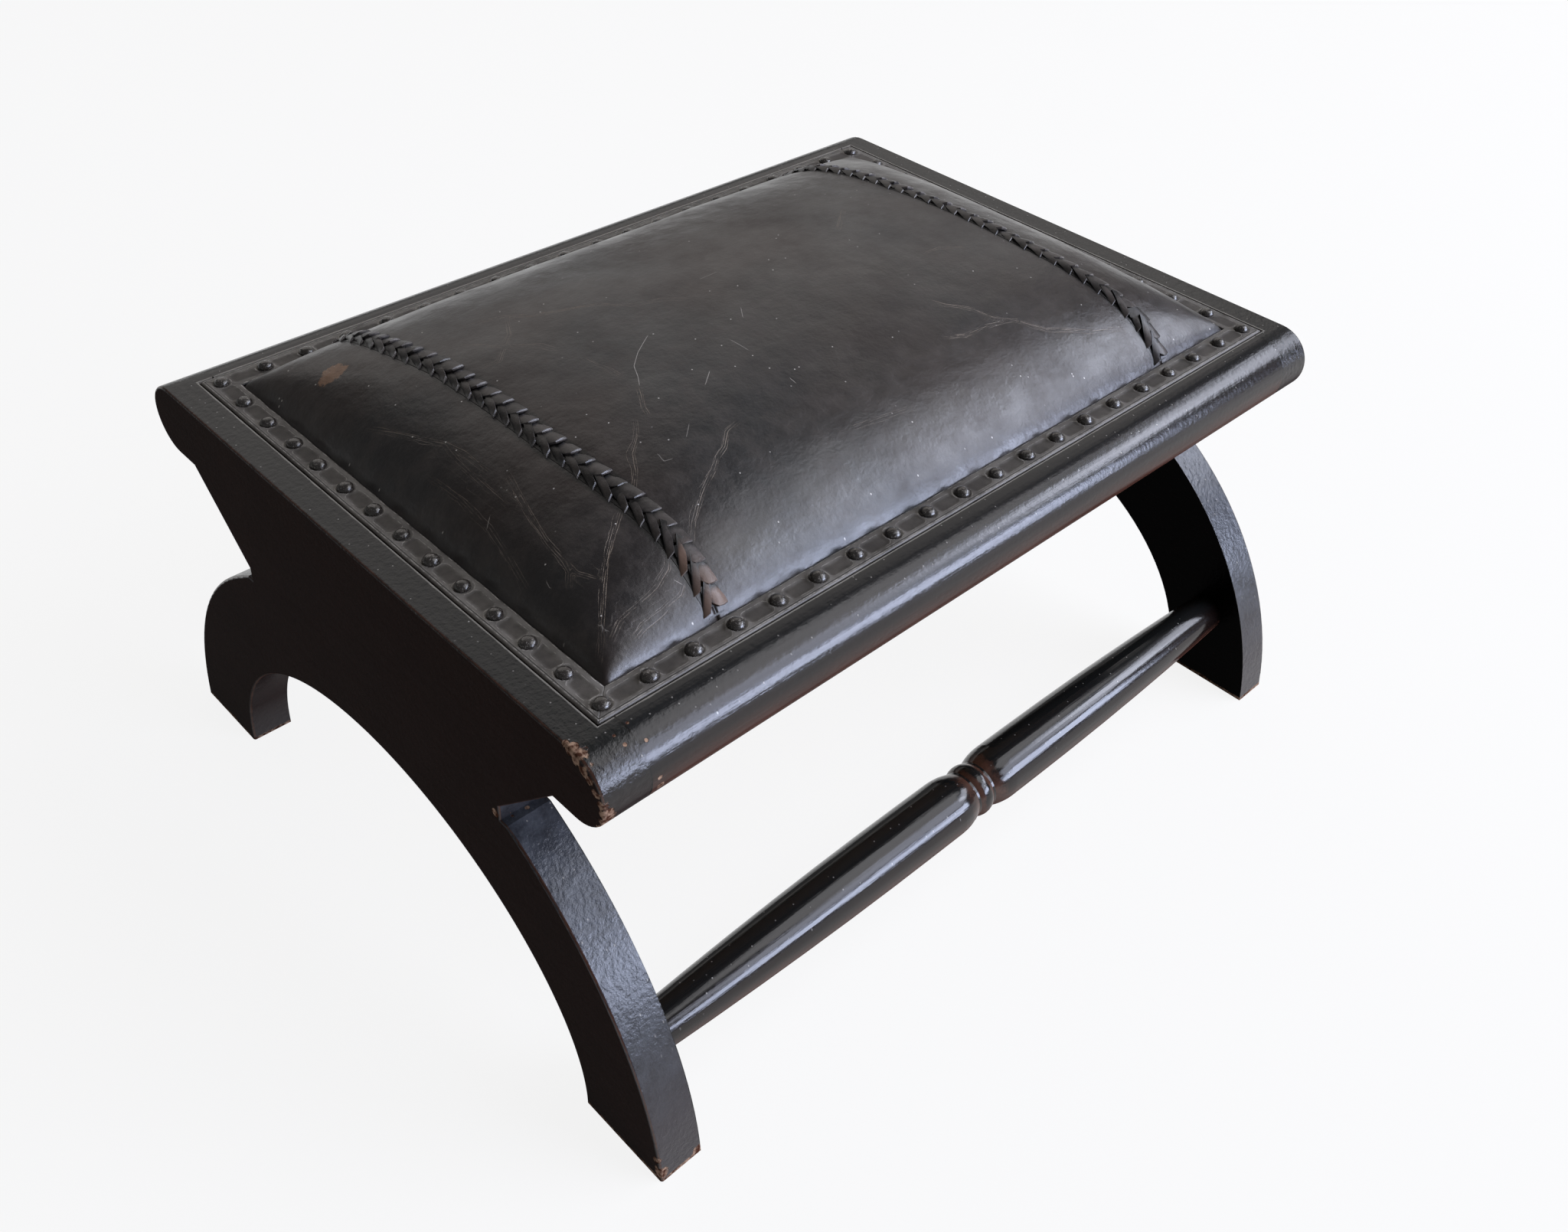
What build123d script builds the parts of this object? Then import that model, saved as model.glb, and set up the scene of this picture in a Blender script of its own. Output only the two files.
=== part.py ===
from build123d import *
import os

# Camel saddle stool: two shaped side boards, two round-nosed rails and two turned stretchers
# carry a drop-in seat board with a stuffed, laced and nailed leather pad.
# Lengths are in millimetres. +X runs from side board to side board, the front is at -Y,
# and the origin lies on the floor under the middle of the stool.

# Frame
stool_length = 528.4
frame_height = 255.0
board_thickness = 25.0
top_half_depth = 194.0
nose_radius = 20.0
edge_easing = 1.5

# Outline of a side board. The horn's underside runs in level from the nose, then slopes to the waist.
horn_level = 16.0
horn_slope_run = 44.0
waist_top = 172.0
waist_step = 9.0
shoulder_ledge = 5.0
shoulder_bulge = 24.0
foot_half_spread = 226.5
arch_half_width = 168.0
arch_height = 128.0

# Rails and the rebate that the seat board drops into
rail_width = 42.0
rebate_depth = 13.0
rebate_margin_end = 16.2
rebate_margin_front = 23.6

# Seat board
seat_board_thickness = 10.0
seat_board_gap = 1.2

# Leather pad
leather_thickness = 1.5
soft_clearance = 0.3
pad_rise = 46.6
pad_edge_rise = 1.2
lacing_reach = 168.0
lacing_gap = 0.4
braid_width = 13.5
braid_thickness = 3.0

# Banding and dome nails
banding_width = 16.0
banding_thickness = 1.8
nails_long_side = 20
nails_short_side = 14
nail_head_radius = 5.0
nail_head_height = 2.6
nail_shank_radius = 1.0
nail_length = 11.0
nail_point_length = 2.5
nail_clearance = 0.1

# Turned stretchers
stretcher_reach = 186.0
stretcher_height = 52.0
stretcher_end_radius = 12.0
stretcher_swell_radius = 17.2
stretcher_swell_place = 46.0
shoulder_place = 22.0
neck_radius = 14.2
neck_width = 1.5
bead_radius = 15.8
bead_width = 11.0
tenon_radius = 9.0
tenon_length = 15.0
tenon_chamfer = 1.0
bore_clearance = 0.1
bore_end_gap = 0.5

# Dowels between rails and side boards
dowel_radius = 4.0
dowel_in_board = 14.5
dowel_in_rail = 25.0
dowel_chamfer = 0.8
dowel_spacing = 16.0
dowel_from_nose = 14.0
dowel_drop = 27.0

# Corner blocks and the screws that hold the seat board down
block_leg = 42.0
block_nib = 8.0
block_height = 26.0
screw_inset = 13.0
screw_radius = 2.0
screw_bite = 7.0
screw_point_length = 4.0
screw_head_radius = 4.0
screw_head_height = 2.5
screw_clearance = 0.1

# One overrun serves every cut that leaves a solid
overrun = 5.0

# The crown of the pad is lofted through sections. A station is a share of the pad's half depth,
# a height a share of the pad's rise, and a shoulder a share of its section's height.
crown_station_shares = (0.0, 0.46, 0.77, 0.91, 1.0)
crown_height_shares = (1.0, 0.9, 0.62, 0.34, 0.05)
crown_shoulder_shares = (0.77, 0.79, 0.85, 0.91, 0.96)
crown_shoulder_place_share = 0.78

# Places worked out from the sizes above
half_length = stool_length / 2
inner_face = half_length - board_thickness
nose_centre = top_half_depth - nose_radius
nose_middle = frame_height - nose_radius
nose_bottom = frame_height - 2 * nose_radius
horn_root = nose_centre - horn_level
waist_half_width = horn_root - horn_slope_run
waist_bottom = waist_top - waist_step
shoulder_start = waist_half_width + shoulder_ledge
rebate_half_length = half_length - rebate_margin_end
rebate_half_depth = top_half_depth - rebate_margin_front
seat_ledge = frame_height - rebate_depth
rail_inner = top_half_depth - rail_width
seat_half_length = rebate_half_length - seat_board_gap
seat_half_depth = rebate_half_depth - seat_board_gap
seat_top = seat_ledge + seat_board_thickness
flange_top = seat_top + leather_thickness
nail_seat = flange_top + banding_thickness
pad_half_length = seat_half_length - banding_width - soft_clearance
pad_half_depth = seat_half_depth - banding_width - soft_clearance
pad_rim = leather_thickness + pad_edge_rise
nail_line_end = seat_half_length - banding_width / 2
nail_line_front = seat_half_depth - banding_width / 2
nail_hole_radius = nail_shank_radius + nail_clearance
nail_pitch_long = 2 * nail_line_end / (nails_long_side - 1)
nail_pitch_short = 2 * nail_line_front / (nails_short_side - 1)
neck_end = bead_width / 2 + neck_width
dowel_height = frame_height - dowel_drop
dowel_middle = top_half_depth - dowel_from_nose - dowel_spacing / 2
block_bottom = seat_ledge - block_height
screw_place_x = inner_face - screw_inset
screw_place_y = rail_inner - screw_inset

LEFT, RIGHT = -1, 1
FRONT, BACK = -1, 1
SIDES = ((LEFT, "left"), (RIGHT, "right"))
ROWS = ((FRONT, "front"), (BACK, "back"))


def save(builder, name):
    """Labels a finished piece and writes it as its own file."""
    builder.part.label = name
    export_step(builder.part, f"parts/{name}.step")


def across(x, y, z, direction):
    """A plane at a point that faces along X, for bores and pins that run along the stool."""
    return Plane(origin=(x, y, z), z_dir=(direction, 0, 0))


def dowel_lines():
    """Height and depth of each dowel, as (y, z)."""
    return [
        (row * (dowel_middle + step * dowel_spacing / 2), dowel_height)
        for row in (FRONT, BACK)
        for step in (-1, 1)
    ]


def side_board(end):
    """A slab with round-nosed horns, a waist, splayed feet and an arch between them."""
    with BuildPart() as board:
        with BuildSketch(Plane.YZ.offset(end * inner_face)):
            with BuildLine():
                Line((0, frame_height), (nose_centre, frame_height))
                CenterArc((nose_centre, nose_middle), nose_radius, -90, 180)
                Polyline(
                    (nose_centre, nose_bottom),
                    (horn_root, nose_bottom),
                    (waist_half_width, waist_top),
                    (waist_half_width, waist_bottom),
                    (shoulder_start, waist_bottom),
                )
                SagittaArc((shoulder_start, waist_bottom), (foot_half_spread, 0), shoulder_bulge)
                Line((foot_half_spread, 0), (arch_half_width, 0))
                EllipticalCenterArc((0, 0), arch_half_width, arch_height, 0, arc_size=90)
                mirror(about=Plane.YZ)
            make_face()
        extrude(amount=end * board_thickness)
        outer_face = board.faces().filter_by(Axis.X).sort_by(Axis.X)[0 if end == LEFT else -1]
        eased = [edge for edge in outer_face.edges() if edge.center().Z > edge_easing]
        fillet(eased, edge_easing)
        with BuildSketch(Plane.XY.offset(seat_ledge)):
            Rectangle(2 * rebate_half_length, 2 * rebate_half_depth)
        extrude(amount=rebate_depth + overrun, mode=Mode.SUBTRACT)
        with Locations(*[across(end * inner_face, row * stretcher_reach, stretcher_height, -end)
                         for row in (FRONT, BACK)]):
            Hole(tenon_radius + bore_clearance, tenon_length + bore_end_gap)
        with Locations(*[across(end * inner_face, y, z, -end) for y, z in dowel_lines()]):
            Hole(dowel_radius + bore_clearance, dowel_in_board + bore_end_gap)
    return board


def rail(row):
    """A round-nosed rail between the side boards, with the rebate along its inner edge."""
    with BuildPart() as bar:
        with BuildSketch(Plane.YZ.offset(-inner_face)):
            with BuildLine():
                CenterArc((row * nose_centre, nose_middle), nose_radius, -90, row * 180)
                Polyline(
                    (row * nose_centre, frame_height),
                    (row * rebate_half_depth, frame_height),
                    (row * rebate_half_depth, seat_ledge),
                    (row * rail_inner, seat_ledge),
                    (row * rail_inner, nose_bottom),
                    (row * nose_centre, nose_bottom),
                )
            make_face()
        extrude(amount=2 * inner_face)
        ends = [
            across(end * inner_face, y, z, end)
            for end in (LEFT, RIGHT)
            for y, z in dowel_lines()
            if y * row > 0
        ]
        with Locations(*ends):
            Hole(dowel_radius + bore_clearance, dowel_in_rail + bore_end_gap)
    return bar


def rail_dowels(end):
    """Four dowels at one end of the rails, half in the side board and half in the rail."""
    with BuildPart() as pin:
        with Locations(Plane(origin=(-end * dowel_in_rail, 0, 0), z_dir=(end, 0, 0))):
            Cylinder(
                dowel_radius,
                dowel_in_board + dowel_in_rail,
                align=(Align.CENTER, Align.CENTER, Align.MIN),
            )
        chamfer(pin.edges().filter_by(GeomType.CIRCLE), dowel_chamfer)
    with BuildPart() as group:
        with Locations(*[(end * inner_face, y, z) for y, z in dowel_lines()]):
            add(pin.part)
    return group


def stretcher(row):
    """A turned bar: each half swells towards a bead at the middle, and ends in a tenon."""
    with BuildPart() as bar:
        with BuildSketch(Plane(origin=(0, row * stretcher_reach, stretcher_height),
                               x_dir=(1, 0, 0), z_dir=(0, -1, 0))):
            with BuildLine():
                TangentArc((0, bead_radius), (bead_width / 2, neck_radius), tangent=(1, 0))
                Line((bead_width / 2, neck_radius), (neck_end, neck_radius))
                TangentArc(
                    (shoulder_place, stretcher_swell_radius), (neck_end, neck_radius), tangent=(-1, 0)
                )
                Line(
                    (shoulder_place, stretcher_swell_radius),
                    (stretcher_swell_place, stretcher_swell_radius),
                )
                TangentArc(
                    (stretcher_swell_place, stretcher_swell_radius),
                    (inner_face, stretcher_end_radius),
                    tangent=(1, 0),
                )
                Polyline(
                    (inner_face, stretcher_end_radius),
                    (inner_face, tenon_radius),
                    (inner_face + tenon_length - tenon_chamfer, tenon_radius),
                    (inner_face + tenon_length, tenon_radius - tenon_chamfer),
                    (inner_face + tenon_length, 0),
                    (0, 0),
                )
                mirror(about=Plane.YZ)
            make_face()
        revolve(axis=Axis((0, row * stretcher_reach, stretcher_height), (1, 0, 0)))
    return bar


def nail_row(row):
    """Places of the nails along the front or back, corners included."""
    return [
        (-nail_line_end + step * nail_pitch_long, row * nail_line_front)
        for step in range(nails_long_side)
    ]


def nail_column(end):
    """Places of the nails along one end, without the corners."""
    return [
        (end * nail_line_end, -nail_line_front + step * nail_pitch_short)
        for step in range(1, nails_short_side - 1)
    ]


def all_nails():
    """Places of every nail."""
    return nail_row(FRONT) + nail_row(BACK) + nail_column(LEFT) + nail_column(RIGHT)


def screw_places():
    """Places of the seat board's screws."""
    return [
        (end * screw_place_x, row * screw_place_y)
        for end in (LEFT, RIGHT)
        for row in (FRONT, BACK)
    ]


def bores_down(places, level, radius, depth):
    """Bores straight down from a level."""
    with Locations(*[(x, y, level) for x, y in places]):
        Hole(radius, depth)


def seat_board():
    """The board under the pad, with pilot holes for nails and screws."""
    with BuildPart() as board:
        with BuildSketch(Plane.XY.offset(seat_ledge)):
            Rectangle(2 * seat_half_length, 2 * seat_half_depth)
        extrude(amount=seat_board_thickness)
        pilot_depth = nail_length - banding_thickness - leather_thickness + bore_end_gap
        bores_down(all_nails(), seat_top, nail_hole_radius, pilot_depth)
        with Locations(*[Plane(origin=(x, y, seat_ledge), z_dir=(0, 0, -1))
                         for x, y in screw_places()]):
            Hole(screw_radius + screw_clearance, screw_bite + bore_end_gap)
    return board


def crown(half_x, half_y, base, rise, edge):
    """A crowned pad on a flat base: its sections run from side to side, one behind the other."""
    shares = list(zip(crown_station_shares, crown_height_shares, crown_shoulder_shares))
    stations = [(-s, h, k) for s, h, k in reversed(shares[1:])] + shares
    shoulder_x = half_x * crown_shoulder_place_share
    rim = base + edge
    with BuildPart() as pad:
        for station, height_share, shoulder_share in stations:
            top = rim + rise * height_share
            shoulder = rim + rise * height_share * shoulder_share
            with BuildSketch(Plane.XZ.offset(-station * half_y)):
                with BuildLine():
                    middle = ThreePointArc(
                        (-shoulder_x, shoulder), (0, top), (shoulder_x, shoulder)
                    )
                    TangentArc((shoulder_x, shoulder), (half_x, rim), tangent=middle % 1)
                    TangentArc((-shoulder_x, shoulder), (-half_x, rim), tangent=(middle % 0) * -1)
                    Polyline((half_x, rim), (half_x, base), (-half_x, base), (-half_x, rim))
                make_face()
        loft()
    return pad.part


def leather_cover():
    """The whole leather skin over the stuffing, with the flange that the banding covers."""
    outer = crown(pad_half_length, pad_half_depth, seat_top, pad_rise, pad_rim)
    inner = crown(
        pad_half_length - leather_thickness,
        pad_half_depth - leather_thickness,
        seat_top,
        pad_rise,
        pad_edge_rise,
    )
    with BuildPart() as skin:
        with BuildSketch(Plane.XY.offset(seat_top)):
            Rectangle(2 * seat_half_length, 2 * seat_half_depth)
        extrude(amount=leather_thickness)
        add(outer)
        add(inner, mode=Mode.SUBTRACT)
        bores_down(all_nails(), flange_top, nail_hole_radius, leather_thickness + overrun)
    return skin.part


def leather_centre(cover):
    """The middle panel, between the two lines of lacing."""
    with BuildPart() as panel:
        add(cover)
        split(bisect_by=Plane.YZ.offset(lacing_reach - lacing_gap / 2), keep=Keep.BOTTOM)
        split(bisect_by=Plane.YZ.offset(lacing_gap / 2 - lacing_reach), keep=Keep.TOP)
    return panel


def leather_end(cover, end):
    """The panel outside the lacing at one end."""
    edge_plane = Plane.YZ.offset(end * (lacing_reach + lacing_gap / 2))
    with BuildPart() as panel:
        add(cover)
        split(bisect_by=edge_plane, keep=Keep.TOP if end == RIGHT else Keep.BOTTOM)
    return panel


def seat_stuffing():
    """The crowned wad of stuffing under the leather."""
    inset = leather_thickness + soft_clearance
    with BuildPart() as wad:
        add(
            crown(
                pad_half_length - inset,
                pad_half_depth - inset,
                seat_top,
                pad_rise,
                pad_edge_rise - soft_clearance,
            )
        )
    return wad


def braid(end):
    """The braided lacing over the seam at one end, as a band that follows the crown."""
    lift = pad_rim + soft_clearance
    over = crown(pad_half_length, pad_half_depth, seat_top, pad_rise, lift + braid_thickness)
    under = crown(pad_half_length, pad_half_depth, seat_top, pad_rise, lift)
    with BuildPart() as band:
        add(over)
        add(under, mode=Mode.SUBTRACT)
        with BuildSketch(Plane.XY.offset(seat_top)):
            with Locations((end * lacing_reach, 0)):
                Rectangle(braid_width, 2 * pad_half_depth)
        extrude(amount=2 * pad_rise, mode=Mode.INTERSECT)
    return band


def banding_strip(corners, places):
    """A leather strip over the edge of the cover, mitred at its ends, with its nail holes."""
    with BuildPart() as strip:
        with BuildSketch(Plane.XY.offset(flange_top)):
            with BuildLine():
                Polyline(*corners, close=True)
            make_face()
        extrude(amount=banding_thickness)
        bores_down(places, nail_seat, nail_hole_radius, banding_thickness + overrun)
    return strip


def banding_along(row):
    """The strip along the front or the back."""
    outer, inner = row * seat_half_depth, row * (seat_half_depth - banding_width)
    corners = [
        (-seat_half_length, outer),
        (seat_half_length, outer),
        (seat_half_length - banding_width, inner),
        (banding_width - seat_half_length, inner),
    ]
    return banding_strip(corners, nail_row(row))


def banding_across(end):
    """The strip along one end."""
    outer, inner = end * seat_half_length, end * (seat_half_length - banding_width)
    corners = [
        (outer, -seat_half_depth),
        (outer, seat_half_depth),
        (inner, seat_half_depth - banding_width),
        (inner, banding_width - seat_half_depth),
    ]
    corner_nails = [(end * nail_line_end, row * nail_line_front) for row in (FRONT, BACK)]
    return banding_strip(corners, nail_column(end) + corner_nails)


def dome_nail():
    """One nail with a domed head, its head seated at height zero."""
    with BuildPart() as nail:
        with BuildSketch(Plane.XZ):
            with BuildLine():
                TangentArc((0, nail_head_height), (nail_head_radius, 0), tangent=(1, 0))
                Polyline(
                    (nail_head_radius, 0),
                    (nail_shank_radius, 0),
                    (nail_shank_radius, nail_point_length - nail_length),
                    (0, -nail_length),
                    (0, nail_head_height),
                )
            make_face()
        revolve(axis=Axis.Z)
    return nail.part


def nail_group(places):
    """A row of dome nails, each a solid of its own."""
    nail = dome_nail()
    with BuildPart() as group:
        with Locations(*[(x, y, nail_seat) for x, y in places]):
            add(nail)
    return group


def corner_block(end, row):
    """A glued block in the corner of rail and side board, with the hole for its screw."""
    corner = (end * inner_face, row * rail_inner)

    def inwards(along_x, along_y):
        return (corner[0] - end * along_x, corner[1] - row * along_y)

    with BuildPart() as block:
        with BuildSketch(Plane.XY.offset(block_bottom)):
            with BuildLine():
                Polyline(
                    corner,
                    inwards(block_leg, 0),
                    inwards(block_leg, block_nib),
                    inwards(block_nib, block_leg),
                    inwards(0, block_leg),
                    close=True,
                )
            make_face()
        extrude(amount=block_height)
        bores_down(
            [(end * screw_place_x, row * screw_place_y)],
            seat_ledge,
            screw_radius + screw_clearance,
            block_height + overrun,
        )
    return block


def seat_screws():
    """Four screws, up through the corner blocks into the seat board."""
    tip = seat_ledge + screw_bite
    with BuildPart() as screw:
        with BuildSketch(Plane.XZ):
            with BuildLine():
                Polyline(
                    (0, block_bottom - screw_head_height),
                    (screw_head_radius, block_bottom - screw_head_height),
                    (screw_head_radius, block_bottom),
                    (screw_radius, block_bottom),
                    (screw_radius, tip - screw_point_length),
                    (0, tip),
                    close=True,
                )
            make_face()
        revolve(axis=Axis.Z)
    with BuildPart() as group:
        with Locations(*[(x, y, 0) for x, y in screw_places()]):
            add(screw.part)
    return group


os.makedirs("parts", exist_ok=True)

for end, side in SIDES:
    save(side_board(end), f"side_board_{side}")
    save(rail_dowels(end), f"rail_dowels_{side}")
for row, side in ROWS:
    save(rail(row), f"{side}_rail")
    save(stretcher(row), f"{side}_stretcher")
    for end, hand in SIDES:
        save(corner_block(end, row), f"corner_block_{side}_{hand}")
save(seat_board(), "seat_board")
save(seat_screws(), "seat_screws")

cover = leather_cover()
save(seat_stuffing(), "seat_stuffing")
save(leather_centre(cover), "leather_centre")
for end, side in SIDES:
    save(leather_end(cover, end), f"leather_{side}")
    save(braid(end), f"braid_{side}")
    save(banding_across(end), f"banding_{side}")
    save(nail_group(nail_column(end)), f"nails_{side}")
for row, side in ROWS:
    save(banding_along(row), f"banding_{side}")
    save(nail_group(nail_row(row)), f"nails_{side}")
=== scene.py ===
import math
import random

import bpy
import numpy as np
from mathutils import Matrix, Vector, noise
from mathutils.bvhtree import BVHTree


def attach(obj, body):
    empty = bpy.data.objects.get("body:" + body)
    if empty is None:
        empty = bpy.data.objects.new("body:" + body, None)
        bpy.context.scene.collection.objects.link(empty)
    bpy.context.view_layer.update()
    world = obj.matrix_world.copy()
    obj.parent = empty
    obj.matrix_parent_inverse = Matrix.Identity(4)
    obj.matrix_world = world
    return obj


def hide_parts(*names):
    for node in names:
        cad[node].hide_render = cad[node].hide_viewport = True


# Camel saddle stool: ebonised frame, crowned leather pad in three panels, two lines of braided
# lacing, tooled banding and dome nails. Sizes are in millimetres and become metres at the mesh.

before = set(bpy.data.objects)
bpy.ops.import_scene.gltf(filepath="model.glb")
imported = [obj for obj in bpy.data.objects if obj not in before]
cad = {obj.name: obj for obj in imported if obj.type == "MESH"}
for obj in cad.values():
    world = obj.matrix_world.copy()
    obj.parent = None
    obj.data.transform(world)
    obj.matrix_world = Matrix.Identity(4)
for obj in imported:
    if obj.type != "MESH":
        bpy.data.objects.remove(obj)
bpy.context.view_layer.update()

MM = 0.001

# Pad, as the CAD has it
seat_top = 252.0
flange_top = 253.5
leather_thickness = 1.5
pad_half_length = 230.5
pad_half_depth = 152.9
flange_half_length = 246.6
flange_half_depth = 169.0

# Crown of the pad: its rise and how square its shoulders are along and across
crown_foot = 255.5
crown_rise = 45.9
crown_half_length = 231.0
crown_half_depth = 153.5
crown_power_length = 3.64
crown_power_depth = 2.17

# Seams under the lacing, each a run of places (depth, place along the stool)
seam_left = ((-153, -167.0), (-144, -166.6), (-128, -166.0), (-118, -165.6), (-97, -167.0),
             (-70, -169.4), (-45, -171.0), (-20, -171.2), (8, -171.0), (50, -171.6),
             (80, -174.4), (110, -175.8), (153, -176.0))
seam_right = ((-153, 170.0), (-122, 169.6), (-92, 167.4), (-70, 164.8), (-50, 163.0), (-20, 162.4),
              (10, 161.8), (45, 160.3), (70, 159.4), (92, 158.8), (153, 156.6))
seam_gap = 0.5
seam_reach = 152.0

# Banding and nails
banding_width = 16.0
banding_top = 255.3
banding_outer_length = 246.8
banding_outer_depth = 169.2
nail_line_end = 238.8
nail_line_front = 161.2
nails_long_side = 20
nails_short_side = 14

# Frame
inner_face = 239.2
rebate_half_length = 248.0
rebate_half_depth = 170.4


# Materials

def colour(code):
    """An sRGB hex colour as linear values."""
    parts = [int(code[i:i + 2], 16) / 255 for i in (1, 3, 5)]
    linear = [c / 12.92 if c <= 0.04045 else ((c + 0.055) / 1.055) ** 2.4 for c in parts]
    return (*linear, 1.0)


def marks(size):
    """A pattern's scale, from the size of its marks in millimetres."""
    return 1 / (size * MM)


def mm(sizes):
    """Sizes in millimetres as metres."""
    return tuple(size * MM for size in sizes)


def fill(made, inputs):
    """Gives a node's inputs, by name or number, a value, an output or a node's live output."""
    for key, source in inputs.items():
        if isinstance(source, bpy.types.Node):
            source = next(output for output in source.outputs if output.enabled)
        if isinstance(source, bpy.types.NodeSocket):
            made.id_data.links.new(source, made.inputs[key])
        else:
            made.inputs[key].default_value = source


def node(tree, kind, *inputs, **settings):
    """Adds a node with its settings and its inputs: the live ones in order, or one dictionary."""
    kind, usual = kind if isinstance(kind, tuple) else (kind, {})
    made = tree.nodes.new(kind)
    for key, value in {**usual, **settings}.items():
        setattr(made, key, value)
    if not inputs or not isinstance(inputs[0], dict):
        live = [number for number, socket in enumerate(made.inputs) if socket.enabled]
        inputs = [dict(zip(live, inputs))]
    fill(made, inputs[0])
    return made


def new_material(name, constants):
    """A material with its shader's constant values, its tree and its object coordinates."""
    material = bpy.data.materials.new(name)
    material.use_nodes = True
    tree = material.node_tree
    tree.nodes.clear()
    shader = node(tree, "ShaderNodeBsdfPrincipled", constants)
    node(tree, "ShaderNodeOutputMaterial", shader)
    place = node(tree, "ShaderNodeTexCoord").outputs["Object"]
    return material, tree, shader, place


ADD, SUBTRACT, MULTIPLY, MULTIPLY_ADD, ABSOLUTE, MAXIMUM, MINIMUM, LESS_THAN = (
    ("ShaderNodeMath", {"operation": operation})
    for operation in ("ADD", "SUBTRACT", "MULTIPLY", "MULTIPLY_ADD", "ABSOLUTE", "MAXIMUM",
                      "MINIMUM", "LESS_THAN"))
VECTOR = "ShaderNodeVectorMath"
SEPARATE = "ShaderNodeSeparateXYZ"
COMBINE = "ShaderNodeCombineXYZ"
STORED = "ShaderNodeAttribute"
RANGE = "ShaderNodeMapRange"
NOISE = "ShaderNodeTexNoise"
CELLS = "ShaderNodeTexVoronoi"
MIX = ("ShaderNodeMix", {"data_type": "RGBA"})
BUMP = "ShaderNodeBump"
STRETCH = "ShaderNodeMapping"


# Places where the finish is knocked off, each with its reach: the near left horn and its notch,
# the seams on the nose, and the near left foot
CHIPS = (
    (-263.0, -169.0, 254.8, 2.0), (-262.6, -173.0, 254.0, 3.6), (-262.0, -177.0, 252.5, 4.4),
    (-262.3, -181.5, 249.5, 3.8), (-262.6, -185.5, 246.5, 3.2), (-262.6, -189.0, 242.0, 3.2),
    (-262.6, -191.5, 237.5, 3.2), (-262.4, -193.3, 232.5, 3.6), (-261.5, -193.5, 227.5, 4.6),
    (-260.5, -191.5, 222.0, 5.6), (-258.5, -188.0, 217.5, 6.5), (-264.2, -111.0, 166.0, 2.6),
    (-258.0, -115.8, 164.5, 1.8), (-250.0, -115.8, 163.5, 1.5), (-237.5, -176.5, 255.2, 1.0),
    (-235.6, -186.0, 250.8, 1.0), (-235.0, -194.0, 235.0, 1.5), (-234.0, -193.2, 229.0, 2.2),
    (-246.0, -178.5, 255.0, 1.1), (-244.5, -184.0, 252.9, 1.3), (-263.5, -225.0, 6.0, 4.5),
    (-263.5, -222.5, 15.0, 2.6), (-241.0, -226.0, 2.0, 4.0),
)


# Where the frame's looks change, in millimetres. Heights: the bloom and painted sheen on the legs
# begins and is full, and the same for the sheen's darker brown at the feet, the pale line on the
# arris round the seat and the bare foot.
bloom_and_sheen_heights = (215, 195)
bloom_and_sheen_growth_height = 190
foot_heights = (80, 30)
arris_heights = (253, 254.2)
bare_foot_heights = (4.4, 3.4)
# Widths: the arris and the glue line, from nothing to full, and how far they waver
arris_widths = (0.3, -0.3)
glue_widths = (0.6, 0.2)
arris_waver, bare_foot_waver = 1.2, 4
# Where the dye has worn off the lacing's tan end, and how far it reaches and wavers
tan_end = (-168, -155, 262)
tan_reach = (62, 40)
tan_waver = 40


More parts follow.
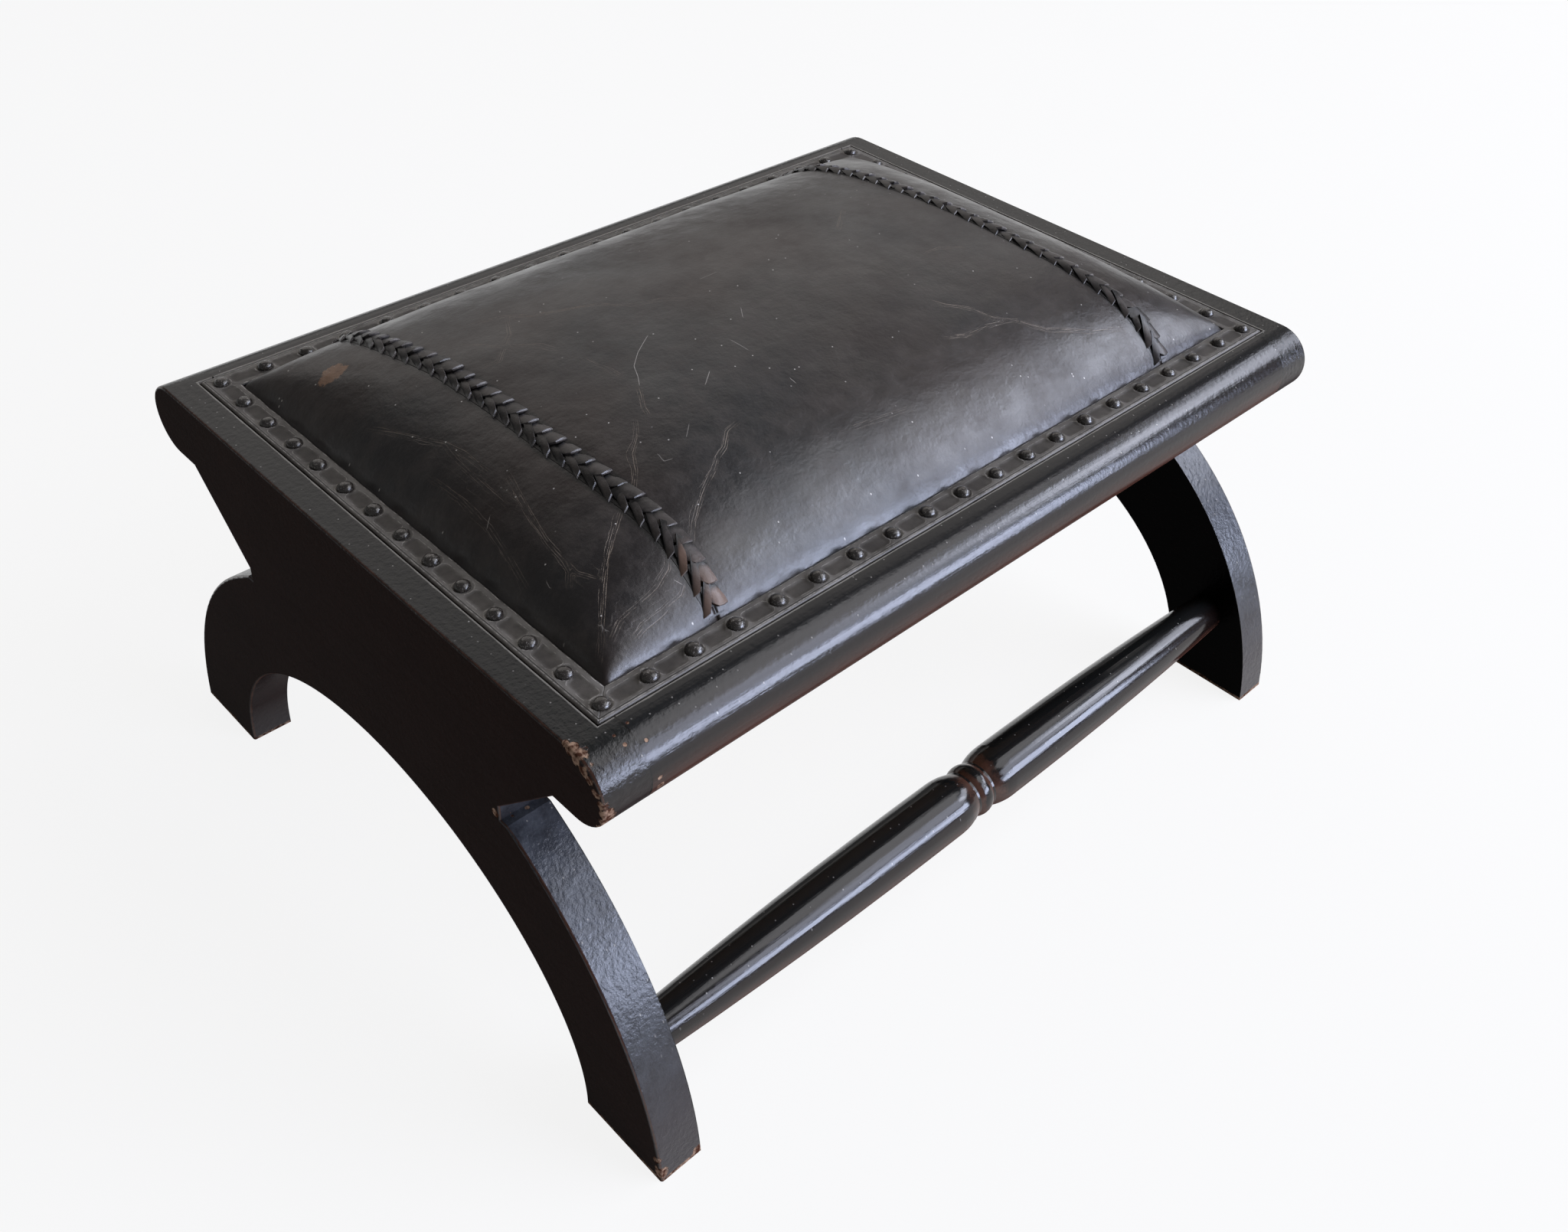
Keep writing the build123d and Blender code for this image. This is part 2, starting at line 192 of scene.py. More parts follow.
def ebonised_wood(name, grain, gloss, pitted, bloom_and_sheen=0.0, top_tint="#181a1a"):
    """Ebonised beech, brushed with black spirit varnish. The eye gets a near-black satin gloss on
    edges and rounds, tops a little greyer with dust and a painted reflection, a grey bloom with a
    painted sheen of the window down the legs, and a dull brown-black on flat sides and undersides,
    broken by brush marks along the grain, small pits, worn arrises and raw chips."""
    material, tree, shader, place = new_material(
        name, {"IOR": 1.5, "Specular IOR Level": 0.0, "Coat Roughness": gloss})
    along = [marks(2.326)] * 3
    along["XYZ".index(grain)] = marks(71.4)
    strokes = node(tree, STRETCH, {0: place, "Scale": along})
    brush = node(tree, NOISE, strokes, 1.0, 4.0, 0.6)
    cloud = node(tree, NOISE, place, marks(45.5), 5.0, 0.6)
    pits = node(tree, NOISE, place, marks(3.03), 4.0, 0.6)
    rubbed = node(tree, NOISE, place, marks(10.53), 5.0, 0.7)
    parts = node(tree, SEPARATE, place)
    facing = node(tree, SEPARATE, node(tree, "ShaderNodeNewGeometry").outputs["Normal"])
    side = node(tree, ABSOLUTE, facing.outputs[0])
    flat_side = node(tree, RANGE, side, 0.75, 0.97)
    below = node(tree, RANGE, facing.outputs[2], 0.2, -0.3)

    tint = node(tree, MIX, cloud, colour("#0b0b0c"), colour("#1c110d"))
    # Up-facing faces a little greyer: a film of dust, and a painted reflection of the room above
    top = node(tree, RANGE, facing.outputs[2], 0.75, 0.98, 0.0, 0.85)
    tint = node(tree, MIX, top, tint, colour(top_tint))
    under = ("#1d1515", "#2c1e1b") if bloom_and_sheen else ("#33201a", "#52342a")
    for dull, dark, light in ((below, *under), (flat_side, "#1e1310", "#291a15")):
        brown = node(tree, MIX, cloud, colour(dark), colour(light))
        tint = node(tree, MIX, dull, tint, brown)

    # Bloom on the varnish of the legs, and a painted sheen of the window on their edges and fronts:
    # blue-grey in patches, stronger higher up, darker and browner towards the feet
    bloom_and_sheen_share = node(tree, RANGE, parts.outputs[2], *mm(bloom_and_sheen_heights), 0.0, bloom_and_sheen)
    higher = node(tree, RANGE, parts.outputs[2], 0.0, bloom_and_sheen_growth_height * MM, 0.5)
    bloom_and_sheen_share = node(tree, MULTIPLY, bloom_and_sheen_share, higher)
    for dull in (flat_side, below):
        clear = node(tree, RANGE, dull, 0.0, 1.0, 1.0, 0.0)
        bloom_and_sheen_share = node(tree, MULTIPLY, bloom_and_sheen_share, clear)
    patchy = node(tree, RANGE, rubbed, 0.35, 0.65)
    grey = node(tree, MIX, patchy, colour("#33353a"), colour("#505359"))
    foot = node(tree, RANGE, parts.outputs[2], *mm(foot_heights), 0.0, 0.8)
    grey = node(tree, MIX, foot, grey, colour("#3f373a"))
    tint = node(tree, MIX, bloom_and_sheen_share, tint, grey)

    # Worn arrises: only the eased edges of a board face both outwards and sideways
    rest = node(tree, SUBTRACT, 1.0, side)
    eased = node(tree, MULTIPLY, side, rest)
    worn = node(tree, MULTIPLY_ADD, eased, 3.0, rubbed)
    worn = node(tree, RANGE, worn, 0.95, 1.25)

    # The arris round the sunk seat is drawn as a thin pale line
    flat = node(tree, VECTOR, place, operation="ABSOLUTE")
    rebate = mm((rebate_half_length, rebate_half_depth, 0.0))
    flat = node(tree, VECTOR, flat.outputs[0], rebate, operation="SUBTRACT")
    flat = node(tree, SEPARATE, flat.outputs[0])
    beyond = node(tree, MAXIMUM, flat.outputs[0], flat.outputs[1])
    beyond = node(tree, MULTIPLY_ADD, rubbed, -arris_waver * MM, beyond)
    arris = node(tree, RANGE, beyond, *mm(arris_widths))
    upper = node(tree, RANGE, parts.outputs[2], *mm(arris_heights))
    arris = node(tree, MULTIPLY, arris, upper)

    # Glue lines between the rails and the side boards
    glue = node(tree, ABSOLUTE, parts.outputs[0])
    glue = node(tree, SUBTRACT, glue, inner_face * MM)
    glue = node(tree, ABSOLUTE, glue)
    glue = node(tree, RANGE, glue, *mm(glue_widths))
    for share, code in ((worn, "#4a3127"), (arris, "#8e8a83"), (glue, "#040303")):
        tint = node(tree, MIX, share, tint, colour(code))

    # Dust: a few specks, and finer ones that lie on the top
    lying = node(tree, RANGE, facing.outputs[2], 0.3, 0.6)
    for size, few, bright in ((25.0, 0.85, "#b5b2ad"), (6.67, 0.7, "#85817c")):
        cells = node(tree, CELLS, place, marks(size), voronoi_dimensions="2D")
        speck = node(tree, RANGE, cells, 0.5 / size, 0.2 / size)
        speck = node(tree, MULTIPLY, speck, lying)
        some = node(tree, "ShaderNodeSeparateColor", cells.outputs["Color"])
        some = node(tree, RANGE, some, few, few + 0.15)
        speck = node(tree, MULTIPLY, speck, some)
        tint = node(tree, MIX, speck, tint, colour(bright))

    # Raw wood, cracked, where the finish is chipped, and at the feet where they meet the floor
    near = None
    for x, y, z, reach in CHIPS:
        off = node(tree, VECTOR, place, mm((x, y, z)), operation="DISTANCE")
        off = node(tree, MULTIPLY, off, 1 / (reach * MM))
        near = node(tree, MINIMUM, near, off) if near else off
    torn = node(tree, NOISE, place, marks(4.35), 4.0, 0.7)
    chip = node(tree, MULTIPLY_ADD, torn, 1.3, -0.65)
    chip = node(tree, SUBTRACT, chip, near)
    chip = node(tree, RANGE, chip, -0.95, -0.8)
    low = node(tree, MULTIPLY_ADD, rubbed, bare_foot_waver * MM, parts.outputs[2])
    low = node(tree, RANGE, low, *mm(bare_foot_heights))
    bare = node(tree, MAXIMUM, chip, low)
    crack = node(tree, RANGE, pits, 0.42, 0.6)
    raw = node(tree, MIX, crack, colour("#4a2f24"), colour("#a88b75"))
    tint = node(tree, MIX, bare, tint, raw)

    # Polish: full on edges and rounds, little on flat sides and below, none on raw wood
    polish = node(tree, MULTIPLY_ADD, brush, 0.35, 0.8)
    for worn_off, left in ((flat_side, 0.05), (below, 0.12), (bare, 0.0), (bloom_and_sheen_share, 0.8)):
        kept = node(tree, RANGE, worn_off, 0.0, 1.0, 1.0, left)
        polish = node(tree, MULTIPLY, polish, kept)
    polish.use_clamp = True
    rough = node(tree, MULTIPLY_ADD, rubbed, 0.3, 0.4)
    relief = node(tree, MULTIPLY, brush, 0.45)
    for part, share in ((pits, pitted), (bare, -2.0)):
        relief = node(tree, MULTIPLY_ADD, part, share, relief)
    bump = node(tree, BUMP, {"Strength": 0.5, "Distance": 0.5 * MM, "Height": relief})
    fill(shader, {"Base Color": tint, "Coat Weight": polish, "Roughness": rough, "Normal": bump,
                  "Coat Normal": bump})
    return material


def bare_wood():
    """Unfinished beech under the seat, sawn and darkened by age. The eye gets a dull tan with
    streaks along the stool."""
    material, tree, shader, place = new_material("sawn beech", {"IOR": 1.5})
    grain = node(tree, STRETCH, {0: place, "Scale": (marks(55.6), marks(2.38), marks(2.38))})
    streaks = node(tree, NOISE, grain, 1.0, 6.0, 0.6)
    tint = node(tree, MIX, streaks, colour("#6b4d35"), colour("#a5825f"))
    rough = node(tree, MULTIPLY_ADD, streaks, 0.2, 0.6)
    bump = node(tree, BUMP, {"Strength": 0.4, "Distance": 0.4 * MM, "Height": streaks})
    fill(shader, {"Base Color": tint, "Roughness": rough, "Normal": bump})
    return material


def plated_steel():
    """Zinc-plated steel wood screws, dulled. The eye gets a grey metal with blotched gloss."""
    material, tree, shader, place = new_material("dulled screw steel", {"Metallic": 1.0})
    blotch = node(tree, NOISE, place, marks(1.429), 4.0)
    tint = node(tree, MIX, blotch, colour("#6f6d69"), colour("#a09d97"))
    rough = node(tree, MULTIPLY_ADD, blotch, 0.3, 0.3)
    fill(shader, {"Base Color": tint, "Roughness": rough})
    return material


def pad_leather():
    """Waxed calf leather, stained black-brown and polished by use. The eye gets a soft sheen over
    fine pores, brushed streaks, scuffed creases, hair scratches, specks, and a tan patch where the
    stain has gone."""
    material, tree, shader, place = new_material(
        "waxed black-brown calf", {"IOR": 1.5, "Coat Roughness": 0.3})
    cloud = node(tree, NOISE, place, marks(41.7), 6.0, 0.62)
    wide = node(tree, NOISE, place, marks(143.0), 3.0, 0.5)
    fibre = node(tree, NOISE, place, marks(3.03), 5.0, 0.65)
    tint = node(tree, MIX, cloud, colour("#151110"), colour("#2d211d"))
    cool = node(tree, RANGE, wide, 0.42, 0.62)

    # A thin brown-grey bloom of old wax and rubbing, in clouds
    bloom = node(tree, NOISE, place, marks(18.2), 9.0, 0.72)
    bloom = node(tree, RANGE, bloom, 0.46, 0.72, 0.0, 0.5)
    for share, code in ((cool, "#1a1a1c"), (bloom, "#4d4540")):
        tint = node(tree, MIX, share, tint, colour(code))

    # Scuffed creases: a few hair lines and fine flecks that follow the crease of the surface
    crease, strength = (node(tree, STORED, attribute_name=name).outputs["Fac"]
                        for name in ("crease", "crease_strength"))
    scratch = node(tree, NOISE, place, marks(6.67), 6.0, 0.75)
    lines = None
    for shift, sway, width, start in ((0.0, 1.8, 0.28, 0.0), (1.1, 2.2, 0.18, 3.0),
                                      (-1.0, 2.6, 0.22, 7.0), (1.9, 6.0, 0.15, 5.0)):
        moved = node(tree, STRETCH, {0: place, "Location": (start, 0.0, 0.0)})
        wander = node(tree, NOISE, moved, marks(26.3), 5.0, 0.6)
        drift = node(tree, MULTIPLY_ADD, wander, sway, shift - sway / 2)
        off = node(tree, ADD, crease, drift)
        away = node(tree, ABSOLUTE, off)
        line = node(tree, RANGE, away, 0.0, width, 1.0, 0.0)
        worn = node(tree, NOISE, moved, marks(11.76), 6.0, 0.7)
        worn = node(tree, RANGE, worn, 0.42, 0.6)
        line = node(tree, MULTIPLY, line, worn)
        lines = node(tree, MAXIMUM, lines, line) if lines else line
    grit = node(tree, NOISE, place, marks(0.77), 2.0, 0.6)
    grit = node(tree, RANGE, grit, 0.66, 0.74, 0.0, 0.6)
    near = node(tree, ABSOLUTE, crease)
    near = node(tree, RANGE, near, 2.6, 0.4, 0.0, 0.7)
    grit = node(tree, MULTIPLY, grit, near)
    lines = node(tree, MAXIMUM, lines, grit)
    lines = node(tree, MULTIPLY, lines, strength)
    scuff = node(tree, MIX, cloud, colour("#9a7d5c"), colour("#a8a29c"))
    tint = node(tree, MIX, lines, tint, scuff)

    # Single hair scratches
    hair, strength = (node(tree, STORED, attribute_name=name).outputs["Fac"]
                      for name in ("hair", "hair_strength"))
    away = node(tree, ABSOLUTE, hair)
    scored = node(tree, RANGE, away, 0.24, 0.05, 0.0, 0.75)
    scored = node(tree, MULTIPLY, scored, strength)

    # Painted shadow: a black line along each edge of the lacing, where the braid stands proud
    groove = node(tree, STORED, attribute_name="lacing_edge").outputs["Fac"]
    groove = node(tree, ABSOLUTE, groove)
    groove = node(tree, RANGE, groove, 1.5, 0.2, 0.0, 0.8)
    for share, code in ((scored, "#b3ada6"), (groove, "#040404")):
        tint = node(tree, MIX, share, tint, colour(code))

    # Tan patch where the stain has been rubbed through
    patch = node(tree, STORED, attribute_name="bare_patch").outputs["Fac"]
    torn = node(tree, NOISE, place, marks(6.67), 5.0, 0.7)
    edge = node(tree, MULTIPLY_ADD, torn, 1.6, -0.8)
    bare = node(tree, ADD, patch, edge)
    bare = node(tree, RANGE, bare, 0.42, 0.52)
    raw = node(tree, MIX, scratch, colour("#54382a"), colour("#96704f"))
    tint = node(tree, MIX, bare, tint, raw)

    # Dust specks
    for size, few in ((14.29, 0.93), (6.67, 0.96)):
        cells = node(tree, CELLS, place, marks(size), voronoi_dimensions="2D")
        speck = node(tree, RANGE, cells, 0.5 / size, 0.22 / size)
        some = node(tree, "ShaderNodeSeparateColor", cells.outputs["Color"])
        some = node(tree, RANGE, some, few, 0.98)
        speck = node(tree, MULTIPLY, speck, some)
        tint = node(tree, MIX, speck, tint, colour("#c3beb8"))

    # Polish brushed across the pad in short strokes
    strokes = node(tree, STRETCH, {0: place, "Rotation": (0.0, 0.0, 0.5),
                                   "Scale": (marks(16.67), marks(3.125), marks(6.25))})
    strokes = node(tree, NOISE, strokes, 1.0, 3.0, 0.6)
    rough = node(tree, MULTIPLY_ADD, cloud, 0.3, 0.14)
    for part, share in ((strokes, 0.15), (bloom, 0.3), (lines, 0.25)):
        rough = node(tree, MULTIPLY_ADD, part, share, rough)

    wax = node(tree, MULTIPLY_ADD, cloud, -0.9, 0.85)
    wax = node(tree, MULTIPLY_ADD, bloom, -0.4, wax)
    wax.use_clamp = True

    pores = node(tree, CELLS, place, marks(1.786))
    pores = node(tree, MULTIPLY, pores, 0.2)
    relief = node(tree, ADD, pores, fibre)
    for part, share in ((strokes, 0.35), (lines, -0.6)):
        relief = node(tree, MULTIPLY_ADD, part, share, relief)
    swell = node(tree, NOISE, place, marks(13.33), 3.0, 0.5)
    bump = node(tree, BUMP, {"Strength": 0.38, "Distance": 1.4 * MM, "Height": swell})
    bump = node(tree, BUMP, {"Strength": 0.4, "Distance": 0.4 * MM, "Height": relief,
                             "Normal": bump})
    fill(shader, {"Base Color": tint, "Roughness": rough, "Coat Weight": wax, "Normal": bump,
                  "Coat Normal": bump})
    return material


def lacing_leather():
    """Thin calf thong, dyed black and waxed. The eye gets dark flat straps with tips painted paler,
    by rubbing and a painted highlight, painted black shade in the recesses and under each strap,
    and a tan end by the near left corner where the dye has worn off."""
    material, tree, shader, place = new_material("dyed calf thong", {"IOR": 1.5})
    blotch = node(tree, NOISE, place, marks(6.25), 4.0, 0.6)
    fibre = node(tree, NOISE, place, marks(1.667), 4.0)
    wear, worn = (node(tree, STORED, attribute_name=name).outputs["Fac"]
                  for name in ("wear", "worn"))
    mixed = node(tree, MULTIPLY_ADD, wear, 0.6, blotch)
    mixed = node(tree, MULTIPLY_ADD, fibre, 0.5, mixed)
    mixed = node(tree, RANGE, mixed, 0.6, 1.35)
    tint = node(tree, MIX, mixed, colour("#121010"), colour("#4b4542"))
    reach = node(tree, VECTOR, place, mm(tan_end), operation="DISTANCE")
    reach = node(tree, MULTIPLY_ADD, wear, tan_waver * MM, reach)
    tan = node(tree, RANGE, reach, *mm(tan_reach))
    tint = node(tree, MIX, tan, tint, colour("#6b564a"))
    # Painted shade: black where the strap is little worn, at its hidden end, back edge and
    # underside, and on the thong beneath
    recess_shade = node(tree, RANGE, worn, 0.05, 0.35)
    tint = node(tree, MIX, recess_shade, colour("#050404"), tint)
    # Tips painted paler: rubbed, and a painted highlight where they face the window
    rubbed = node(tree, ADD, worn, blotch)
    rubbed = node(tree, RANGE, rubbed, 1.2, 1.5, 0.0, 0.85)
    tint = node(tree, MIX, rubbed, tint, colour("#625d59"))
    rough = node(tree, MULTIPLY_ADD, blotch, 0.3, 0.22)
    bump = node(tree, BUMP, {"Strength": 0.4, "Distance": 0.3 * MM, "Height": fibre})
    fill(shader, {"Base Color": tint, "Roughness": rough, "Normal": bump})
    return material


def banding_leather():
    """Vegetable-tanned leather strip, tooled with a wheel and a stamp and blackened. The eye gets
    softly sunk dark panels, grey rubbed borders, thin broken bright lines at the edges, rubbed and
    with painted highlights, and a painted black shadow at the inner edge."""
    material, tree, shader, place = new_material("tooled blackened strap", {"IOR": 1.5})
    blotch = node(tree, NOISE, place, marks(8.33), 5.0, 0.65)
    fibre = node(tree, NOISE, place, marks(1.111), 4.0, 0.7)
    scratch = node(tree, NOISE, place, marks(3.03), 4.0, 0.7)
    broken = node(tree, RANGE, scratch, 0.44, 0.58)
    tooling = node(tree, STORED, attribute_name="tooling")
    tooling = node(tree, SEPARATE, tooling.outputs["Vector"])
    inner, outer, panel = tooling.outputs
    ring = node(tree, STORED, attribute_name="ring").outputs["Fac"]
    tint = node(tree, MIX, blotch, colour("#262422"), colour("#5d5751"))
    border = node(tree, MULTIPLY_ADD, blotch, 5.0, -2.5)
    border = node(tree, ADD, border, panel)
    border = node(tree, RANGE, border, -1.7, 2.0, interpolation_type="SMOOTHSTEP")
    tint = node(tree, MIX, border, tint, colour("#6e6a65"))
    # Old wax lies darker and browner in places
    waxed = node(tree, NOISE, place, marks(26.3), 4.0, 0.6)
    waxed = node(tree, RANGE, waxed, 0.45, 0.7, 0.0, 0.75)
    tint = node(tree, MIX, waxed, tint, colour("#2b2623"))
    # Pale broken lines, rubbed and with a painted highlight on the edges: by the inner edge, by the
    # outer edge, round the sunk panel and round the nail
    for source, middle, width, strength in (
            (inner, 0.9, 0.35, 1.0), (outer, 1.1, 0.35, 0.9), (outer, 2.2, 0.25, 0.5),
            (panel, 0.6, 0.3, 0.55), (ring, 5.1, 0.5, 0.5)):
        drift = node(tree, MULTIPLY_ADD, blotch, 0.9, -0.45 - middle)
        off = node(tree, ADD, source, drift)
        away = node(tree, ABSOLUTE, off)
        line = node(tree, RANGE, away, width, 0.0, 0.0, strength)
        line = node(tree, MULTIPLY, line, broken)
        tint = node(tree, MIX, line, tint, colour("#b5b0a8"))
    # Black lines: a painted shadow at the inner edge, where the strip meets the leather, and the
    # wheel's groove by the outer edge
    shadow_and_groove = node(tree, RANGE, inner, 0.5, 0.2)
    groove = node(tree, SUBTRACT, outer, 1.7)
    groove = node(tree, ABSOLUTE, groove)
    groove = node(tree, RANGE, groove, 0.4, 0.15, 0.0, 0.8)
    shadow_and_groove = node(tree, MAXIMUM, shadow_and_groove, groove)
    tint = node(tree, MIX, shadow_and_groove, tint, colour("#040404"))
    rough = node(tree, MULTIPLY_ADD, border, -0.12, 0.46)
    rough = node(tree, MULTIPLY_ADD, scratch, 0.2, rough)
    bump = node(tree, BUMP, {"Strength": 0.35, "Distance": 0.2 * MM, "Height": fibre})
    fill(shader, {"Base Color": tint, "Roughness": rough, "Normal": bump})
    return material


def japanned_nails():
    """Iron upholstery nails, black japanned, worn. The eye gets small dark domes with a bright
    point of gloss, and grey flecks where the lacquer is rubbed, with painted glints."""
    material, tree, shader, place = new_material(
        "japanned iron nails", {"IOR": 1.55, "Coat Weight": 0.6, "Coat Roughness": 0.15})
    blotch = node(tree, NOISE, place, marks(1.923), 4.0, 0.6)
    tint = node(tree, MIX, blotch, colour("#0d0c0b"), colour("#3f3934"))
    # Grey flecks: lacquer rubbed through, and painted glints
    flecks = node(tree, NOISE, place, marks(1.111), 3.0, 0.7)
    flecks = node(tree, RANGE, flecks, 0.56, 0.68, 0.0, 0.8)
    tint = node(tree, MIX, flecks, tint, colour("#8d8781"))
    rough = node(tree, MULTIPLY_ADD, blotch, 0.3, 0.1)
    bump = node(tree, BUMP, {"Strength": 0.5, "Distance": 0.5 * MM, "Height": blotch})
    fill(shader, {"Base Color": tint, "Roughness": rough, "Normal": bump})
    return material


def seat_wadding():
    """Cotton wadding and hair under the leather. The eye gets a matt off-white felt."""
    material, tree, shader, place = new_material("felted cotton wadding", {"IOR": 1.45})
    fluff = node(tree, NOISE, place, marks(3.333), 6.0, 0.7)
    tint = node(tree, MIX, fluff, colour("#8b8273"), colour("#c9c0ae"))
    bump = node(tree, BUMP, {"Strength": 0.8, "Distance": 1 * MM, "Height": fluff})
    fill(shader, {"Base Color": tint, "Normal": bump, "Roughness": 0.95})
    return material


MATERIALS = {
    "rail": ebonised_wood("ebonised rail", "X", 0.18, 0.6, top_tint="#1c1d1e"),
    "board": ebonised_wood("ebonised side board", "Y", 0.22, 1.5, bloom_and_sheen=0.9),
    "turned": ebonised_wood("ebonised turned stretcher", "X", 0.13, 0.15),
    "bare": bare_wood(),
    "steel": plated_steel(),
    "leather": pad_leather(),
    "lacing": lacing_leather(),
    "banding": banding_leather(),
    "nails": japanned_nails(),
    "wadding": seat_wadding(),
}


# Meshes

def solid(name, points, faces, material, smooth=True, edges=()):
    """An object from points in millimetres, faces and edges."""
    mesh = bpy.data.meshes.new(name)
    mesh.from_pydata([mm(point) for point in points], edges, faces)
    mesh.materials.append(material)
    mesh.polygons.foreach_set("use_smooth", [smooth] * len(mesh.polygons))
    mesh.update()
    made = bpy.data.objects.new(name, mesh)
    bpy.context.scene.collection.objects.link(made)
    return made


def sheet(wide, rows):
    """Faces of a grid with so many points to a row, and its rim of points, turned the same way."""
    faces = [(a, a + 1, a + wide + 1, a + wide)
             for j in range(rows - 1) for a in range(j * wide, j * wide + wide - 1)]
    rim = list(range(wide)) + [j * wide + wide - 1 for j in range(1, rows)]
    rim += [(rows - 1) * wide + i for i in range(wide - 2, -1, -1)]
    rim += [j * wide for j in range(rows - 2, 0, -1)]
    return faces, rim


def places(piece):
    """The piece's points, in metres."""
    return np.array([v.co[:] for v in piece.data.vertices])


def put(piece, points):
    """Moves the piece's points."""
    piece.data.vertices.foreach_set("co", points.ravel())
    piece.data.update()


def height_under(surface, x, y):
    """The surface's height at a place, in millimetres, or None beside it."""
    hit = surface.ray_cast(Vector((x * MM, y * MM, 0.5)), Vector((0, 0, -1)))[0]
    return None if hit is None else hit.z / MM


def store(piece, name, values, kind="FLOAT"):
    """Keeps one value for each point on the mesh, for its material or its Geometry Nodes tree."""
    layer = piece.data.attributes.new(name, kind, "POINT")
    field = "vector" if kind == "FLOAT_VECTOR" else "value"
    layer.data.foreach_set(field, np.asarray(values, float).ravel())


def settle(piece):
    """Applies the piece's modifiers and leaves a plain mesh."""
    graph = bpy.context.evaluated_depsgraph_get()
    mesh = bpy.data.meshes.new_from_object(piece.evaluated_get(graph))
    piece.modifiers.clear()
    piece.data = mesh


def grow(piece, tree, **sizes):
    """Runs a Geometry Nodes tree on the piece and keeps the result as a plain mesh."""
    modifier = piece.modifiers.new(tree.name, "NODES")
    modifier.node_group = tree
    for item in tree.interface.items_tree:
        if item.item_type == "SOCKET" and item.in_out == "INPUT" and item.name in sizes:
            modifier[item.identifier] = sizes[item.name]
    settle(piece)


def finish_piece(piece, slot, *replaced):
    """Attaches the piece to the stool's body and hides the CAD nodes it stands for. The slot is not
    used.
    """
    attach(piece, "root")
    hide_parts(*replaced)


# Pad

# The wadding's mesh, how far under the crown it starts, and how long and far it may swell
wadding_step = 6.0
wadding_foot = 253.6
wadding_share = 0.955
wadding_lift = 0.4
swell_frames = 20
swell_reach = 6.0

# How far the wadding stays under the crown and above the board, at the end
wadding_under = 4.8
wadding_over_board = 0.1

# The leather's mesh, and where it turns down at the banding and runs out beneath it
leather_step = 1.5
leather_turn = (pad_half_depth + 0.7, 162.0, flange_half_depth)
edge_drop, edge_drop_reach = 1.4, 1.5

# How the leather follows the wadding: its share, how far from the edge it begins, and its limit
leather_over_wadding = 1.6
swell_share, swell_start, swell_rise, swell_limit = 0.6, 14, 40, 1.5

# The valley along the lacing, the creases and hair scratches, and the leather's unevenness, each
# with a depth or a height and how far it reaches
seam_dip, seam_dip_reach = 0.5, 7.0
crease_depth, crease_half_width, crease_reach, crease_ends = 0.12, 1.8, 7, 0.25
hair_reach, hair_ends = 4, 0.8
leather_waves = ((0.5, 45, 3.1), (0.12, 9, 7.7))
bare_patch_place = (-205, 102)
bare_patch_reach = (10, 8)
# Half the width of the lacing, where the leather's painted shadow line lies
lacing_half_width = 6.9


def crown(x, y):
    """Height of the crown over the pad, for arrays of places."""
    p = 1 - np.minimum(np.abs(x / crown_half_length), 1) ** crown_power_length
    q = 1 - np.minimum(np.abs(y / crown_half_depth), 1) ** crown_power_depth
    return crown_foot + 2 * crown_rise * p * q / np.maximum(p + q, 1e-6)


def seam_x(y, side):
    """Where a seam lies at a depth; side is -1 at the left and 1 at the right."""
    depths, spots = zip(*(seam_left if side < 0 else seam_right))
    return np.interp(y, depths, spots)


def swollen_pad():
    """The wadding, blown out by a cloth simulation from a slightly smaller shape."""
    xs = np.arange(-pad_half_length + leather_step, pad_half_length, wadding_step)
    ys = np.arange(-pad_half_depth + leather_step, pad_half_depth, wadding_step)
    points = [(x, y, wadding_foot + wadding_share * (float(crown(x, y)) - crown_foot))
              for y in ys for x in xs]
    count = len(points)
    points += [(x, y, seat_top + wadding_lift) for x, y, _ in points]
    top, rim = sheet(len(xs), len(ys))
    faces = [face for a, b, c, d in top
             for face in ((a, b, c, d), (a + count, d + count, c + count, b + count))]
    faces += [(a, a + count, b + count, b) for a, b in zip(rim, rim[1:] + rim[:1])]
    pad = solid("seat_wadding", points, faces, MATERIALS["wadding"])
    remesh = pad.modifiers.new("even", "REMESH")
    remesh.mode = "VOXEL"
    remesh.voxel_size = wadding_step * MM
    settle(pad)
    start = places(pad)
    held = pad.vertex_groups.new(name="held")
    held.add([int(i) for i in np.nonzero(start[:, 2] < crown_foot * MM)[0]], 1.0, "REPLACE")
    cloth = pad.modifiers.new("cloth", "CLOTH").settings
    for key, value in {"quality": 6, "mass": 0.4, "tension_stiffness": 30,
                       "compression_stiffness": 30, "shear_stiffness": 10,
                       "bending_stiffness": 2, "use_pressure": True,
                       "uniform_pressure_force": 4.0, "vertex_group_mass": "held"}.items():
        setattr(cloth, key, value)
    cloth.effector_weights.gravity = 0.0
    scene = bpy.context.scene
    for moment in range(1, swell_frames + 1):
        scene.frame_set(moment)
    settle(pad)
    scene.frame_set(1)
    pad.vertex_groups.clear()
    move = places(pad) - start
    far = np.linalg.norm(move, axis=1, keepdims=True)
    put(pad, start + move * np.minimum(1.0, swell_reach * MM / np.maximum(far, 1e-9)))
    return pad


def swollen_heights(pad, x, y):
    """Height of the swollen wadding over each place, or the crown where it isn't met."""
    surface = BVHTree.FromObject(pad, bpy.context.evaluated_depsgraph_get())
    heights = crown(x, y)
    for i in np.ndindex(x.shape):
        height = height_under(surface, x[i], y[i])
        if height is not None:
            heights[i] = height
    return heights


